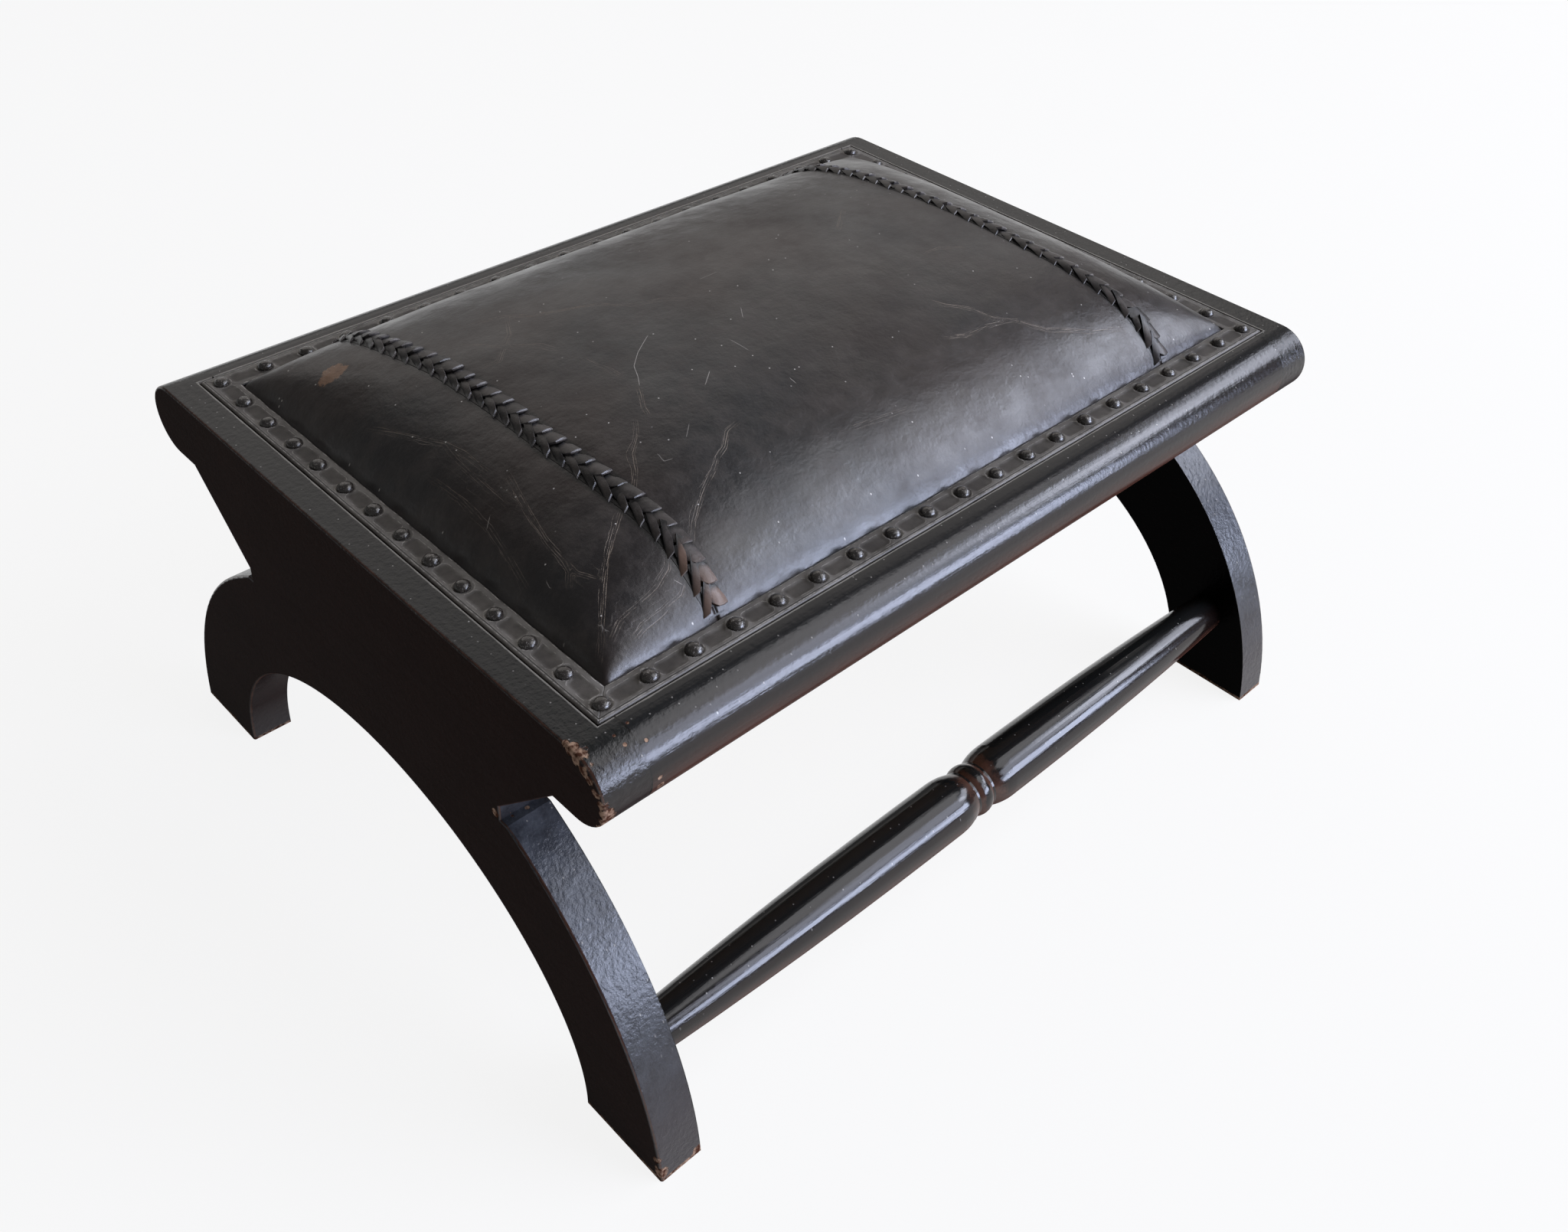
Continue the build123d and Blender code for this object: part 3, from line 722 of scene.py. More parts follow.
# Creases and hair scratches, each a run of places on the pad with its strength
CREASES = (
    (1.0, ((-173, -94), (-184, -102), (-195, -111), (-204, -120), (-212, -129), (-217, -134))),
    (0.35, ((-217, -134), (-222, -140), (-227, -145))),
    (0.6, ((-195, -38), (-199, -54), (-203, -69), (-206, -83), (-207, -94), (-209, -103),
           (-214, -109))),
    (0.5, ((-207, -94), (-208, -106), (-204, -115))),
    (0.7, ((-170, -124), (-176, -130), (-186, -134), (-197, -136), (-209, -137), (-217, -141))),
    (0.5, ((-169, -134), (-178, -141), (-191, -143), (-201, -144), (-210, -146))),
    (0.6, ((-115, -36), (-123, -49), (-125, -55))),
    (0.6, ((-132, -54), (-139, -64), (-148, -71), (-154, -81), (-161, -88), (-170, -92))),
    (0.75, ((-93, -84), (-102, -86), (-110, -93), (-117, -96), (-124, -101), (-137, -108),
            (-151, -118), (-158, -125))),
    (0.45, ((-215, 52), (-211, 39), (-207, 25), (-201, 5), (-199, -9), (-199, -18), (-199, -30))),
    (0.3, ((-201, 5), (-203, -10), (-204, -25), (-205, -52))),
    (0.75, ((-144, 76), (-133, 72), (-123, 67), (-110, 55), (-95, 47), (-79, 38), (-69, 26),
            (-54, 21), (-43, 12))),
    (0.45, ((-154, 60), (-140, 40), (-127, 27), (-124, 16))),
    (0.4, ((-121, 65), (-131, 48), (-138, 42), (-150, 31), (-160, 34))),
    (0.4, ((-119, 2), (-118, -8), (-116, -15), (-116, -24))),
    (0.8, ((63, -67), (67, -74), (78, -84), (83, -94), (94, -104), (105, -115), (130, -126),
           (156, -133))),
    (0.8, ((45, -92), (57, -97), (75, -98), (95, -103))),
    (0.5, ((96, -31), (109, -31), (124, -39))),
    (0.5, ((77, 19), (90, 29), (102, 39))),
    (0.35, ((-215, -1), (-214, -26), (-216, -52), (-221, -77), (-224, -91))),
    (0.3, ((-48, -115), (-28, -117), (-3, -120))),
)
HAIRS = (
    (1.0, ((-83, -4), (-97, -13), (-106, -21), (-110, -29), (-114, -35))),
    (1.0, ((-80, -48), (-89, -55))),
    (0.7, ((-53, -34), (-52, -46))),
    (0.7, ((-28, -14), (-34, -22))),
    (0.6, ((-114, -72), (-121, -78))),
    (0.6, ((-139, -79), (-140, -84), (-136, -85))),
    (0.6, ((-23, 24), (-11, 24))),
    (1.0, ((-50, -74), (-50, -79))),
    (0.5, ((-217, -132), (-216, -137))),
    (0.5, ((-215, -132), (-218, -136))),
    (0.8, ((-213, -48), (-217, -51))),
    (0.8, ((-177, -135), (-175, -138))),
    (0.6, ((-218, -97), (-219, -101))),
)


def mark_fields(x, y, marks, ends, reach):
    """Signed distance from the nearest mark, and that mark's strength, which fades at the mark's
    ends and beyond its reach."""
    best = np.full(x.shape, 1e3)
    strength = np.zeros(x.shape)
    for force, run in marks:
        for k, ((ax, ay), (bx, by)) in enumerate(zip(run, run[1:])):
            dx, dy = bx - ax, by - ay
            long = math.hypot(dx, dy)
            along = ((x - ax) * dx + (y - ay) * dy) / long ** 2
            held = np.clip(along, 0, 1)
            px, py = x - (ax + held * dx), y - (ay + held * dy)
            gap = np.hypot(px, py)
            sign = np.where(dx * (y - ay) - dy * (x - ax) >= 0, 1.0, -1.0)
            place = (k + held) / (len(run) - 1)
            fade = np.minimum(1, 5 * np.minimum(place, 1 - place) + ends)
            outside = np.where((along < 0) & (k == 0) | (along > 1) & (k == len(run) - 2), 0.0, 1.0)
            nearer = gap < np.abs(best)
            best = np.where(nearer, sign * gap, best)
            strength = np.where(nearer, force * fade * outside, strength)
    strength *= np.clip((reach - np.abs(best)) / (0.5 * reach), 0, 1)
    return np.clip(best, -30, 30), strength


def leather_panel(name, start, end, pad):
    """One panel of the cover between two lines across the pad, each an x for a given y."""
    turn = np.array(leather_turn)
    level = np.arange(-pad_half_depth, pad_half_depth + 0.1, leather_step)
    across = np.concatenate([-turn[::-1], level, turn])
    columns = int(round((end(0) - start(0)) / leather_step))
    share = np.linspace(0, 1, columns + 1)
    y = np.repeat(across[:, None], columns + 1, axis=1)
    x = start(across)[:, None] * (1 - share) + end(across)[:, None] * share
    edge = np.minimum(pad_half_length - np.abs(x), pad_half_depth - np.abs(y))
    z = crown(x, y)
    coarse = swollen_heights(pad, x, y) + leather_over_wadding
    share = swell_share * np.clip((edge - swell_start) / swell_rise, 0, 1)
    z = z + share * np.clip(coarse - z, -swell_limit, swell_limit)
    # The lacing pulls the seams down into a shallow valley
    for side in (-1, 1):
        z = z - seam_dip * np.exp(-(np.abs(x - seam_x(y, side)) / seam_dip_reach) ** 2)
    distance, strength = mark_fields(x, y, CREASES, crease_ends, crease_reach)
    hair, hair_strength = mark_fields(x, y, HAIRS, hair_ends, hair_reach)
    z = z - crease_depth * strength * np.exp(-(distance / crease_half_width) ** 2)
    for i in np.ndindex(x.shape):
        z[i] += sum(height * noise.noise((x[i] / size, y[i] / size, layer))
                    for height, size, layer in leather_waves)
    # The leather turns down at the banding and runs out flat beneath it
    z = z - edge_drop * np.exp(-edge / edge_drop_reach)
    z = np.where(edge >= 0, np.maximum(z, flange_top), flange_top)
    points = np.stack([x, y, z], axis=-1).reshape(-1, 3)
    panel = solid(name, points, sheet(columns + 1, len(across))[0], MATERIALS["leather"])
    off_patch = [(at - middle) / reach
                 for at, middle, reach in zip((x, y), bare_patch_place, bare_patch_reach)]
    # How far from the lacing, for the painted shadow line along its edges
    seam_away = np.minimum(np.abs(x - seam_x(y, -1)), np.abs(x - seam_x(y, 1)))
    for field, values in {"crease": distance, "crease_strength": strength, "hair": hair,
                          "hair_strength": hair_strength,
                          "lacing_edge": seam_away - lacing_half_width,
                          "bare_patch": np.clip(1 - np.hypot(*off_patch), 0, 1) ** 0.5}.items():
        store(panel, field, values)
    hide = panel.modifiers.new("hide", "SOLIDIFY")
    hide.thickness = leather_thickness * MM
    hide.offset = -1
    settle(panel)
    return panel


pad = swollen_pad()
half_gap = seam_gap / 2
panels = {}
for side, start, end in (
        ("left", lambda y: 0 * y - flange_half_length, lambda y: seam_x(y, -1) - half_gap),
        ("centre", lambda y: seam_x(y, -1) + half_gap, lambda y: seam_x(y, 1) - half_gap),
        ("right", lambda y: seam_x(y, 1) + half_gap, lambda y: 0 * y + flange_half_length)):
    panel = panels[side] = leather_panel("leather_" + side + "_panel", start, end, pad)
    finish_piece(panel, "cover_leather", "leather_" + side)

# The wadding lies under the leather
points = places(pad)
limit = (crown(points[:, 0] / MM, points[:, 1] / MM) - wadding_under) * MM
points[:, 2] = np.maximum(np.minimum(points[:, 2], limit), (seat_top + wadding_over_board) * MM)
put(pad, points)
finish_piece(pad, "stuffing", "seat_stuffing")


# Banding

# Its mesh, then its outline: what it loses on the inner edge, bulges between nails and wavers by
banding_step, banding_rows = 0.8, 22
banding_trim, banding_bulge, banding_waver, waver_size = 0.4, 0.3, 0.12, 14
# Its relief: the sunk panel between nails, the rim and dent about a nail, and the eased edges
panel_depth, panel_slope, panel_reach, panel_half_width, panel_corner = 0.4, 1.6, 7.6, 1.6, 2.2
rim_height, rim_radius, rim_width, dent_depth, dent_radius = 0.2, 5.3, 0.6, 0.4, 4.6
eased_drop, eased_reach = 0.6, 0.3
banding_waves = ((0.06, 5), (0.1, 17))


def banding_strip(name, run, half_long, turn):
    """A tooled strip with mitred ends, built along X at the front and turned to its side."""
    pitch = 2 * run / (nails_long_side - 1 if run == nail_line_end else nails_short_side - 1)
    middle = banding_width / 2
    columns = int(2 * half_long / banding_step)
    u = np.linspace(-1, 1, columns + 1)[None, :]
    swell = 0.5 - 0.5 * np.cos(2 * np.pi * (u * half_long + run) / pitch)
    waver = np.array([[noise.noise((x * half_long / waver_size, run, 2.0)) for x in u[0]]])
    width = banding_width - banding_trim + banding_bulge * swell ** 0.6 + banding_waver * waver
    w = np.linspace(0, 1, banding_rows + 1)[:, None] * width
    x = u * (half_long - w)
    nearest = np.clip(np.round((u * half_long + run) / pitch), 0, round(2 * run / pitch))
    nearest = nearest * pitch - run
    ring = np.hypot(x - nearest, w - middle)
    # A softly sunk panel between nails, with rounded corners, and a low rim about each nail
    along = np.maximum(0, panel_reach - np.abs(x - nearest))
    across = np.maximum(0, np.abs(w - middle) - panel_half_width)
    panel = np.hypot(along, across) - panel_corner
    lift = -panel_depth * np.clip(0.5 - panel / panel_slope, 0, 1)
    lift += rim_height * np.exp(-((ring - rim_radius) / rim_width) ** 2)
    lift -= dent_depth * (ring < dent_radius)
    lift -= eased_drop * np.exp(-np.minimum(w, width - w) / eased_reach)
    for i in np.ndindex(lift.shape):
        lift[i] += sum(height * noise.noise((x[i] / size, w[i] / size, run))
                       for height, size in banding_waves)
    points = np.stack([x, w - outer_edge(turn), banding_top + lift], axis=-1)
    points = points.reshape(-1, 3).tolist()
    tooling = np.stack([width - w, w + 0 * u, panel], axis=-1).reshape(-1, 3).tolist()
    ring = ring.ravel().tolist()
    faces, rim = sheet(columns + 1, banding_rows + 1)
    base = {a: len(points) + k for k, a in enumerate(rim)}
    points += [(points[a][0], points[a][1], flange_top) for a in rim]
    tooling += [tooling[a] for a in rim]
    ring += [ring[a] for a in rim]
    faces += [(a, base[a], base[b], b) for a, b in zip(rim, rim[1:] + rim[:1])]
    faces.append([base[a] for a in reversed(rim)])
    turned = Matrix.Rotation(math.radians(turn), 4, "Z")
    points = [tuple(turned @ Vector(p)) for p in points]
    strip = solid(name, points, faces, MATERIALS["banding"])
    store(strip, "tooling", tooling, "FLOAT_VECTOR")
    store(strip, "ring", ring)
    return strip


def outer_edge(turn):
    """How far from the middle the banding's outer edge lies on a side."""
    return banding_outer_depth if turn % 180 == 0 else banding_outer_length


for side, turn, run, long in (("front", 0, nail_line_end, banding_outer_length),
                              ("right", 90, nail_line_front, banding_outer_depth),
                              ("back", 180, nail_line_end, banding_outer_length),
                              ("left", 270, nail_line_front, banding_outer_depth)):
    strip = banding_strip("banding_strip_" + side, run, long, turn)
    finish_piece(strip, "banding_leather", "banding_" + side)


# Nails

def tree_with(name, *inputs):
    """An empty Geometry Nodes tree with named inputs; returns it with its input node's outputs."""
    tree = bpy.data.node_groups.new(name, "GeometryNodeTree")
    tree.interface.new_socket("Geometry", in_out="OUTPUT", socket_type="NodeSocketGeometry")
    tree.interface.new_socket("Geometry", in_out="INPUT", socket_type="NodeSocketGeometry")
    for label, kind in inputs:
        tree.interface.new_socket(label, in_out="INPUT", socket_type="NodeSocket" + kind)
    given = node(tree, "NodeGroupInput")
    return tree, given.outputs


def nail_tree():
    """Dome nails: a lathe-like shape on each point, each struck a little askew."""
    tree, given = tree_with("dome nails", ("Head Radius", "Float"), ("Head Height", "Float"),
                            ("Shank Length", "Float"), ("Tilt", "Float"), ("Seed", "Int"),
                            ("Material", "Material"))
    blank = node(tree, "GeometryNodeMeshCylinder",
                 {"Vertices": 18, "Side Segments": 8, "Radius": 1.0, "Depth": 2.0})
    at = node(tree, SEPARATE, node(tree, "GeometryNodeInputPosition"))
    # The blank's height from 0 at the point to 1 at the top of the dome picks radius and height
    rung = node(tree, RANGE, at.outputs[2], -1.0, 1.0)
    width = node(tree, "ShaderNodeFloatCurve", {1: rung})
    level = node(tree, "ShaderNodeFloatCurve", {1: rung})
    # Nine rungs: shank point, shank, shank top, underside of the head, rim and four up the dome
    radii = (0.02, 0.2, 0.2, 0.94, 1.0, 0.94, 0.77, 0.5, 0.18)
    levels = (0.0, 0.15, 0.69, 0.69, 0.735, 0.84, 0.92, 0.975, 1.0)
    for curve, values in ((width.mapping.curves[0], radii), (level.mapping.curves[0], levels)):
        curve.points[0].location = (0.0, values[0])
        curve.points[1].location = (1.0, values[-1])
        for k in range(1, len(values) - 1):
            curve.points.new(k / (len(values) - 1), values[k])
        for point in curve.points:
            point.handle_type = "VECTOR"
    for curve in (width, level):
        curve.mapping.update()
    radius = node(tree, MULTIPLY, width, given["Head Radius"])
    x = node(tree, MULTIPLY, at.outputs[0], radius)
    y = node(tree, MULTIPLY, at.outputs[1], radius)
    whole = node(tree, ADD, given["Head Height"], given["Shank Length"])
    z = node(tree, MULTIPLY, level, whole)
    z = node(tree, SUBTRACT, z, given["Shank Length"])
    spot = node(tree, COMBINE, x, y, z)
    nail = node(tree, "GeometryNodeSetPosition", {0: blank, "Position": spot})
    less = node(tree, MULTIPLY, given["Tilt"], -1.0)
    low = node(tree, COMBINE, less, less)
    high = node(tree, COMBINE, given["Tilt"], given["Tilt"], 6.28)
    askew = node(tree, "FunctionNodeRandomValue", {0: low, 1: high, "Seed": given["Seed"]},
                 data_type="FLOAT_VECTOR")
    size = node(tree, "FunctionNodeRandomValue",
                {0: (0.92, 0.92, 0.8), 1: (1.05, 1.05, 1.05), "Seed": given["Seed"]},
                data_type="FLOAT_VECTOR")
    row = node(tree, "GeometryNodeInstanceOnPoints",
               {"Points": given["Geometry"], "Instance": nail, "Rotation": askew, "Scale": size})
    real = node(tree, "GeometryNodeRealizeInstances", row)
    soft = node(tree, "GeometryNodeSetShadeSmooth", real)
    done = node(tree, "GeometryNodeSetMaterial", {0: soft, "Material": given["Material"]})
    node(tree, "NodeGroupOutput", done)
    return tree


nails = nail_tree()
nail_head_radius, nail_head_height, nail_shank = 4.2, 3.4, 8.5
nail_tilt = 0.07
nail_stray = 0.5
nail_sunk = 0.25
random.seed(7)
pitch_long = 2 * nail_line_end / (nails_long_side - 1)
pitch_short = 2 * nail_line_front / (nails_short_side - 1)
long_side = [-nail_line_end + k * pitch_long for k in range(nails_long_side)]
short_side = [-nail_line_front + k * pitch_short for k in range(1, nails_short_side - 1)]
for side, seed, spots in (("front", 0, [(x, -nail_line_front) for x in long_side]),
                          ("back", 1, [(x, nail_line_front) for x in long_side]),
                          ("left", 5, [(-nail_line_end, y) for y in short_side]),
                          ("right", 6, [(nail_line_end, y) for y in short_side])):
    points = [(x + random.uniform(-nail_stray, nail_stray),
               y + random.uniform(-nail_stray, nail_stray), banding_top - nail_sunk)
              for x, y in spots]
    row = solid("nail_row_" + side, points, [], MATERIALS["nails"])
    grow(row, nails, **{"Head Radius": nail_head_radius * MM, "Head Height": nail_head_height * MM,
                        "Shank Length": nail_shank * MM, "Tilt": nail_tilt, "Seed": seed,
                        "Material": MATERIALS["nails"]})
    finish_piece(row, "dome_nails", "nails_" + side)


# Lacing

# Each strap lies between two rails from its hidden end to its tip: its front edge, and its back
# edge under the strap behind. A place on a rail is forward, to the right, above the leather, and
# on the front edge the bevel.
STRAPS = {
    "right": (((-8.4, -3.4, 0.5, 0.3), (-5.0, -1.0, 1.4, 0.3), (-1.8, 1.5, 2.7, 0.4),
               (-1.3, 4.2, 2.5, 0.9), (-1.5, 6.9, 1.2, 0.9), (-1.7, 7.4, 0.2, 0.3)),
              ((-13.5, -2.2, 0.5), (-12.8, 0.2, 0.9), (-12.2, 1.8, 1.1),
               (-11.9, 4.2, 0.8), (-11.0, 6.3, -0.1), (-10.8, 6.8, -0.9))),
    "left": (((-14.5, 3.6, 0.5, 0.3), (-10.5, 1.7, 1.3, 0.3), (-5.0, -0.9, 2.6, 0.4),
              (-0.4, -3.1, 2.4, 0.8), (0.5, -5.8, 1.1, 0.8), (0.5, -6.4, 0.2, 0.3)),
             ((-17.6, 1.4, 0.5), (-13.6, -0.6, 1.0), (-9.2, -2.9, 1.1),
              (-5.4, -4.5, 0.8), (-1.6, -5.7, 0.0), (-1.2, -6.2, -0.8))),
}
strap_thickness = 1.2
strap_step = 10.3
strap_unevenness = 0.05
# How much of the bevel the edge is cut back and down by, and the rise and fall behind it
bevel_back, bevel_down = 0.6, 0.8
camber_place, camber, slope_place = 0.35, 0.15, 0.7
# How pale a strap's face is painted from its hidden end, black with painted shade, to its tip, and
# which places are the tip
face_shade_and_wear = (0.0, 0.25, 0.5, 0.5, 0.5, 0.5)
worn_tip = (3, 4)
# The line that the straps stand on, the ribbon under them, and where the line begins at each seam
line_step, line_feel, slope_feel_x, slope_feel_y = 3.0, 2, 4, 1
ribbon_offsets = (-6.3, -5.8, -3.2, -0.8, 0.8, 3.2, 5.8, 6.3)
ribbon_step, ribbon_lift, ribbon_tuck, ribbon_taper, ribbon_front_share = 4.0, 0.25, -0.3, 25, 0.75
lacing_start = {-1: 3.0, 1: 3.8}


def strap(side):
    """One strap of the braid, with a value for its material: tips paler by rubbing and a painted
    highlight, the hidden end, the back edge and the underside black with painted shade.
    """
    front, back = STRAPS[side]
    points, worn = [], []
    for k, ((fx, fy, fz, bevel), (bx, by, bz)) in enumerate(zip(front, back)):
        front_edge, back_edge = Vector((fx, fy, fz)), Vector((bx, by, bz))
        inward = (back_edge - front_edge).normalized()
        inner_edge = front_edge + inward * bevel * bevel_back
        inner_edge.z = fz
        points += [front_edge - Vector((0, 0, bevel * bevel_down)), inner_edge,
                   inner_edge.lerp(back_edge, camber_place) + Vector((0, 0, camber)),
                   inner_edge.lerp(back_edge, slope_place), back_edge]
        # Tips rubbed and given a painted highlight; the back edge and the underside stay 0, painted
        # black as shade
        arris, shoulder = (1.0, 0.72) if k in worn_tip else (0.85, 0.6)
        if k < 2:
            arris = shoulder = 0.0
        worn += [arris, shoulder, face_shade_and_wear[k], 0.7 * face_shade_and_wear[k], 0.0]
    faces, rim = sheet(len(points) // len(front), len(front))
    rim = rim[:1] + rim[:0:-1]
    base = {a: len(points) + k for k, a in enumerate(rim)}
    points += [points[a] - Vector((0, 0, strap_thickness)) for a in rim]
    worn += [0.0] * len(rim)
    faces += [(b, base[b], base[a], a) for a, b in zip(rim, rim[1:] + rim[:1])]
    faces.append([base[a] for a in rim])
    if side == "left":
        faces = [tuple(reversed(face)) for face in faces]
    made = solid("strap_" + side, points, faces, MATERIALS["lacing"])
    store(made, "worn", worn)
    return made


def lacing_tree():
    """Flat braid: a left and a right strap on each step of a line, each a little askew."""
    tree, given = tree_with("braided lacing", ("Step", "Float"), ("Left Strap", "Object"),
                            ("Right Strap", "Object"), ("Underlay", "Object"),
                            ("Unevenness", "Float"), ("Seed", "Int"), ("Material", "Material"))
    line = node(tree, "GeometryNodeMeshToCurve", given["Geometry"])
    steps = node(tree, "GeometryNodeResampleCurve", {0: line, "Length": given["Step"]},
                 mode="LENGTH")
    upward = node(tree, "GeometryNodeInputNamedAttribute", {"Name": "upward"},
                  data_type="FLOAT_VECTOR")
    turn = node(tree, "FunctionNodeAlignRotationToVector",
                {"Vector": node(tree, "GeometryNodeInputTangent")}, axis="X")
    turn = node(tree, "FunctionNodeAlignRotationToVector", {"Rotation": turn, "Vector": upward},
                axis="Z", pivot_axis="X")
    less = node(tree, MULTIPLY, given["Unevenness"], -1.0)
    low = node(tree, COMBINE, less, less, less)
    high = node(tree, COMBINE, given["Unevenness"], given["Unevenness"], given["Unevenness"])
    both = node(tree, "GeometryNodeJoinGeometry")
    for side in ("Left Strap", "Right Strap"):
        shape = node(tree, "GeometryNodeObjectInfo", {"As Instance": True, "Object": given[side]})
        seed = node(tree, ADD, given["Seed"], float(len(side)))
        askew = node(tree, "FunctionNodeRandomValue", {0: low, 1: high, "Seed": seed},
                     data_type="FLOAT_VECTOR")
        turned = node(tree, "FunctionNodeRotateRotation", {0: turn, 1: askew},
                      rotation_space="LOCAL")
        scale = node(tree, "FunctionNodeRandomValue",
                     {0: (0.94, 1.02, 0.9), 1: (1.06, 1.14, 1.1), "Seed": seed},
                     data_type="FLOAT_VECTOR")
        row = node(tree, "GeometryNodeInstanceOnPoints",
                   {"Points": steps, "Instance": shape.outputs["Geometry"], "Rotation": turned,
                    "Scale": scale})
        rub = node(tree, "FunctionNodeRandomValue", {"Seed": seed}, data_type="FLOAT")
        row = node(tree, "GeometryNodeStoreNamedAttribute", {0: row, "Name": "wear", "Value": rub},
                   data_type="FLOAT", domain="INSTANCE")
        fill(both, {0: row})
    under = node(tree, "GeometryNodeObjectInfo", {"Object": given["Underlay"]})
    fill(both, {0: under.outputs["Geometry"]})
    real = node(tree, "GeometryNodeRealizeInstances", both)
    bend = node(tree, "GeometryNodeInputMeshEdgeAngle")
    soft = node(tree, LESS_THAN, bend, 0.55)
    shaded = node(tree, "GeometryNodeSetShadeSmooth", {0: real, "Shade Smooth": soft},
                  domain="EDGE")
    done = node(tree, "GeometryNodeSetMaterial", {0: shaded, "Material": given["Material"]})
    node(tree, "NodeGroupOutput", done)
    return tree


def pad_top():
    """The top of the leather, to find heights on."""
    points, faces = [], []
    for panel in panels.values():
        start = len(points)
        points += [v.co[:] for v in panel.data.vertices]
        faces += [[start + i for i in face.vertices] for face in panel.data.polygons]
    return BVHTree.FromPolygons(points, faces)


leather_top = pad_top()


def lacing_line(name, seam):
    """A line along a seam on the leather, from the back to the front over the crown."""
    lines, upwards = [], []
    for y in np.arange(seam_reach - lacing_start[seam], -seam_reach, -line_step):
        x = float(seam_x(y, seam))
        z = sum(height_under(leather_top, x + off, y) for off in (-line_feel, line_feel)) / 2
        rise_x = float(crown(x + slope_feel_x, y) - crown(x - slope_feel_x, y))
        rise_y = float(crown(x, y + slope_feel_y) - crown(x, y - slope_feel_y))
        slope = Vector((-rise_x / (2 * slope_feel_x), -rise_y / (2 * slope_feel_y), 1))
        lines.append((x, y, z))
        upwards.append(tuple(slope.normalized()))
    piece = solid(name, lines, [], MATERIALS["lacing"],
                  edges=[(k, k + 1) for k in range(len(lines) - 1)])
    store(piece, "upward", upwards, "FLOAT_VECTOR")
    return piece


def underlay(name, seam):
    """The black thong that the braid is worked over: a ribbon that lies on the leather, all in the
    lacing's painted black shade where it shows between the straps.
    """
    points = []
    depths = np.arange(seam_reach, -seam_reach - 0.1, -ribbon_step)
    for y in depths:
        for off in ribbon_offsets:
            share = min(1.0, (seam_reach + y) / ribbon_taper + ribbon_front_share)
            x = float(seam_x(y, seam)) + off * share
            lift = ribbon_lift if abs(off) < ribbon_offsets[-1] else ribbon_tuck
            points.append((x, y, height_under(leather_top, x, y) + lift))
    faces = [(a, d, c, b) for a, b, c, d in sheet(len(ribbon_offsets), len(depths))[0]]
    return solid(name, points, faces, MATERIALS["lacing"])


lacing = lacing_tree()
straps = {side: strap(side) for side in STRAPS}
for name, seam, seed in (("left", -1, 11), ("right", 1, 23)):
    braid = lacing_line("braided_lacing_" + name, seam)
    ribbon = underlay("lacing_underlay", seam)
    grow(braid, lacing, **{"Step": strap_step * MM, "Left Strap": straps["left"],
                           "Right Strap": straps["right"], "Underlay": ribbon,
                           "Unevenness": strap_unevenness, "Seed": seed,
                           "Material": MATERIALS["lacing"]})
    finish_piece(braid, "lacing_leather", "braid_" + name)
    bpy.data.objects.remove(ribbon)
for shape in straps.values():
    bpy.data.objects.remove(shape)


# Frame pieces keep their CAD shape and get their finish
FINISHES = {
    "board": ("side_board_left", "side_board_right"),
    "rail": ("front_rail", "back_rail"),
    "turned": ("front_stretcher", "back_stretcher"),
    "bare": ("rail_dowels_left", "rail_dowels_right", "seat_board", "corner_block_front_left",
             "corner_block_front_right", "corner_block_back_left", "corner_block_back_right"),
    "steel": ("seat_screws",),
}
for finish, names in FINISHES.items():
    for name in names:
        for slot in cad[name].material_slots:
            slot.material = MATERIALS[finish]
        if not cad[name].material_slots:
            cad[name].data.materials.append(MATERIALS[finish])


# Floor, light and camera

def floor_finish():
    """Matt white painted floor, lifted towards plain white where it is seen. The eye gets a white
    ground with a faint soft shadow."""
    material, tree, shader, place = new_material("matt white floor", {"Roughness": 0.9})
    shade = node(tree, NOISE, place, marks(333.0), 3.0)
    tint = node(tree, MIX, shade, colour("#eae9e8"), colour("#efeeed"))
    path = node(tree, "ShaderNodeLightPath")
    seen = node(tree, MAXIMUM, path.outputs["Is Camera Ray"], path.outputs["Is Glossy Ray"])
    seen = node(tree, MAXIMUM, seen, path.outputs["Is Transmission Ray"])
    seen = node(tree, MULTIPLY, seen, 0.87)
    white = node(tree, "ShaderNodeEmission", {"Strength": 1.0})
    both = node(tree, "ShaderNodeMixShader", {0: seen, 1: shader, 2: white})
    fill(tree.nodes["Material Output"], {0: both})
    fill(shader, {"Base Color": tint})
    return material


floor_reach = 30000
corners = [(x * floor_reach, y * floor_reach, 0) for x, y in ((-1, -1), (1, -1), (1, 1), (-1, 1))]
ground = solid("floor", corners, [(0, 1, 2, 3)], floor_finish(), smooth=False)


def window(name, way, distance, width, height, power, tint):
    """A soft light that stands off the stool in a direction and faces it."""
    lamp = bpy.data.lights.new(name, "AREA")
    lamp.shape = "RECTANGLE"
    lamp.size = width
    lamp.size_y = height
    lamp.energy = power
    lamp.color = colour(tint)[:3]
    stand = bpy.data.objects.new(name, lamp)
    way = Vector(way).normalized()
    stand.location = Vector((0, 0, 0.2)) + way * distance
    stand.rotation_euler = way.to_track_quat("Z", "Y").to_euler()
    bpy.context.scene.collection.objects.link(stand)


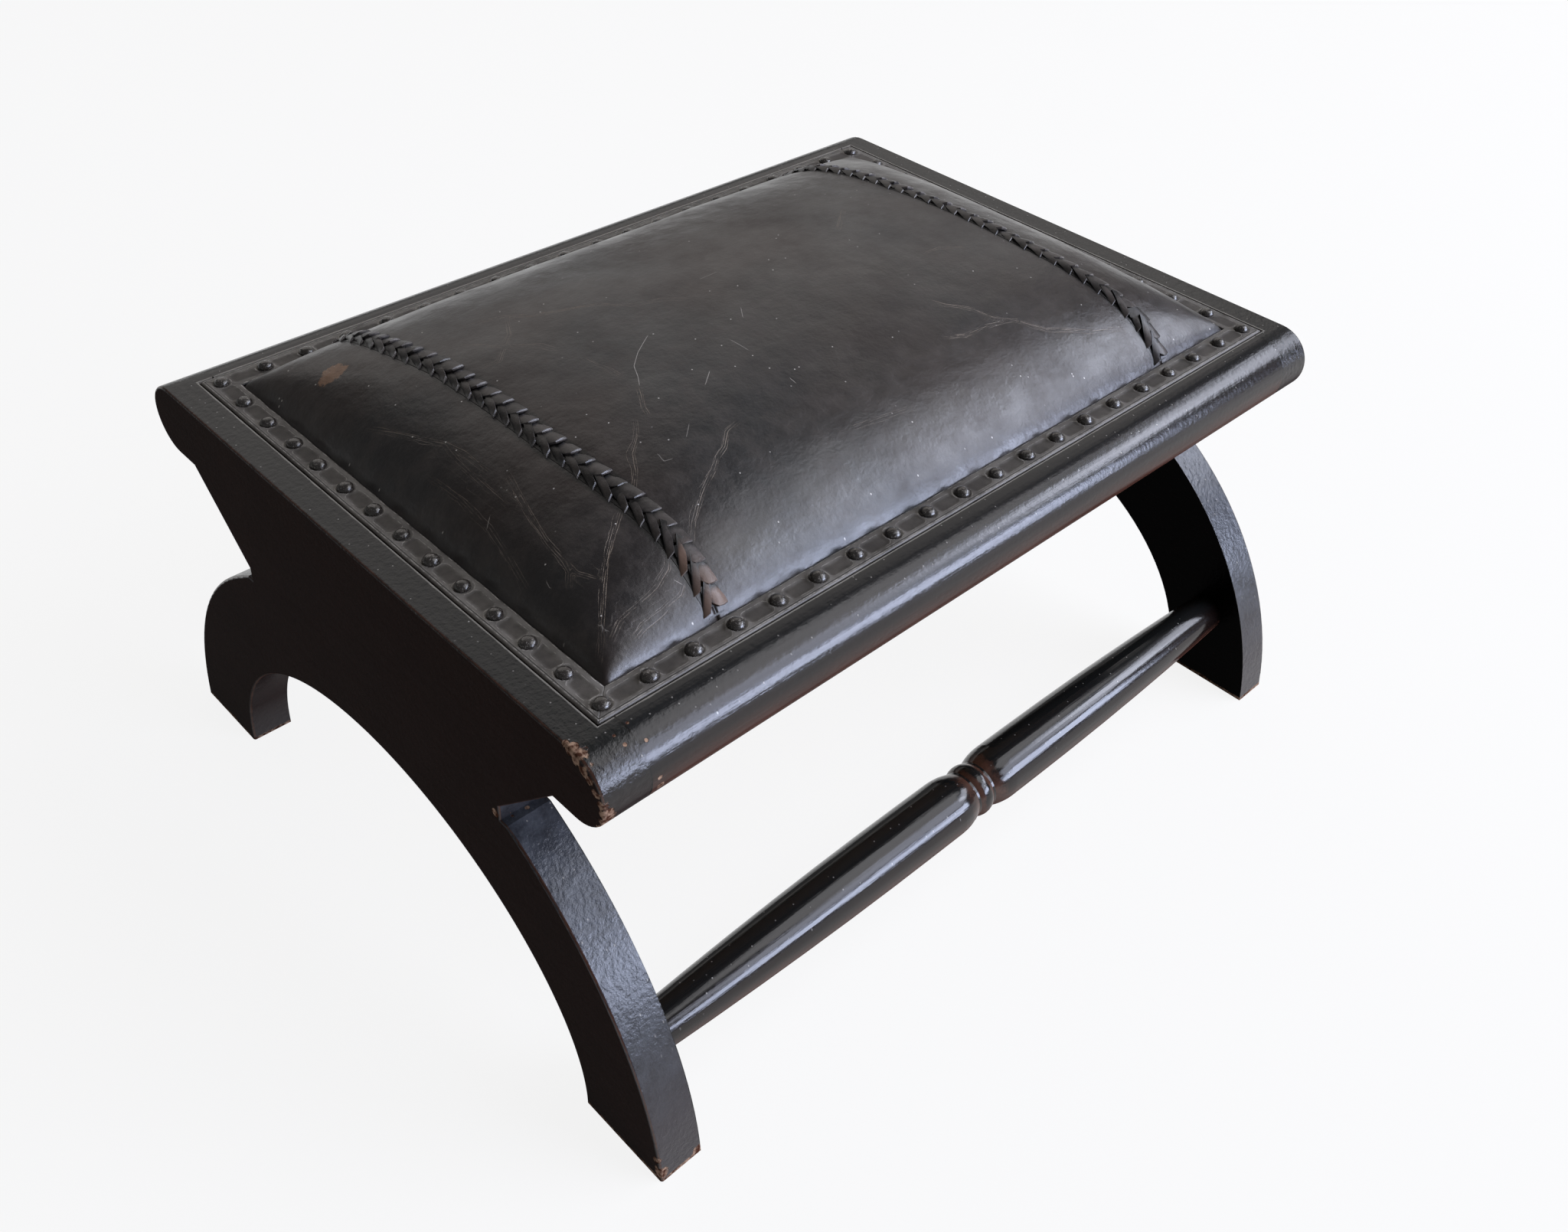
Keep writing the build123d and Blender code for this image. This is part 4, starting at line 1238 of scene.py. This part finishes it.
window("window, upper part", (0.516, -0.661, 0.545), 4.0, 2.9, 1.35, 68, "#e2e8fb")
window("window, lower part", (0.474, -0.855, 0.208), 4.0, 2.45, 1.1, 130, "#d9e3ff")
window("window, far side", (0.795, -0.33, 0.51), 4.0, 2.2, 0.9, 45, "#e6ebfa")
window("light ceiling by the window", (0.47, -0.31, 0.82), 4.0, 2.5, 1.8, 36, "#f1f0f3")
window("pale wall", (0.45, 0.69, 0.57), 4.5, 6.0, 3.4, 36, "#fff8f3")

# The room: pale walls near the horizon under a darker ceiling, and plain white behind the stool
world = bpy.data.worlds.new("room")
world.use_nodes = True
room = world.node_tree
room.nodes.clear()
height = node(room, SEPARATE, node(room, "ShaderNodeTexCoord").outputs["Generated"])
level = node(room, RANGE, height.outputs[2], 0.15, 0.6, 0.16, 0.12, interpolation_type="SMOOTHSTEP")
path = node(room, "ShaderNodeLightPath")
seen = node(room, MAXIMUM, path.outputs["Is Camera Ray"], path.outputs["Is Transmission Ray"])
level = node(room, MAXIMUM, level, seen)
light = node(room, "ShaderNodeBackground", {"Color": (1, 1, 1, 1), "Strength": level})
node(room, "ShaderNodeOutputWorld", light)
bpy.context.scene.world = world

# The photo's camera: where it looks from, in radians and metres, and its lens, in photo pixels
photo_width, photo_height, focal_length, centre_row, sensor = 2048, 1609, 1972.02, 699.96, 36.0
azimuth, elevation, roll, distance = -0.794517, 0.657807, 0.0517068, 0.921575
target = Vector((0.012837, -0.014252, 0.128921))
back = Vector((math.sin(azimuth) * math.cos(elevation), -math.cos(azimuth) * math.cos(elevation),
               math.sin(elevation)))
right = (-back).cross(Vector((0, 0, 1))).normalized()
up = right.cross(-back)
across = math.cos(roll) * right + math.sin(roll) * up
upright = -math.sin(roll) * right + math.cos(roll) * up
lens = bpy.data.cameras.new("camera")
lens.sensor_width = sensor
lens.lens = sensor * focal_length / photo_width
lens.shift_y = (centre_row - photo_height / 2) / photo_width
lens.clip_start = 0.01
viewer = bpy.data.objects.new("camera", lens)
viewer.matrix_world = Matrix.Translation(target + distance * back) @ Matrix(
    (across, upright, back)).transposed().to_4x4()
bpy.context.scene.collection.objects.link(viewer)
bpy.context.scene.camera = viewer
bpy.context.scene.view_settings.view_transform = "Standard"
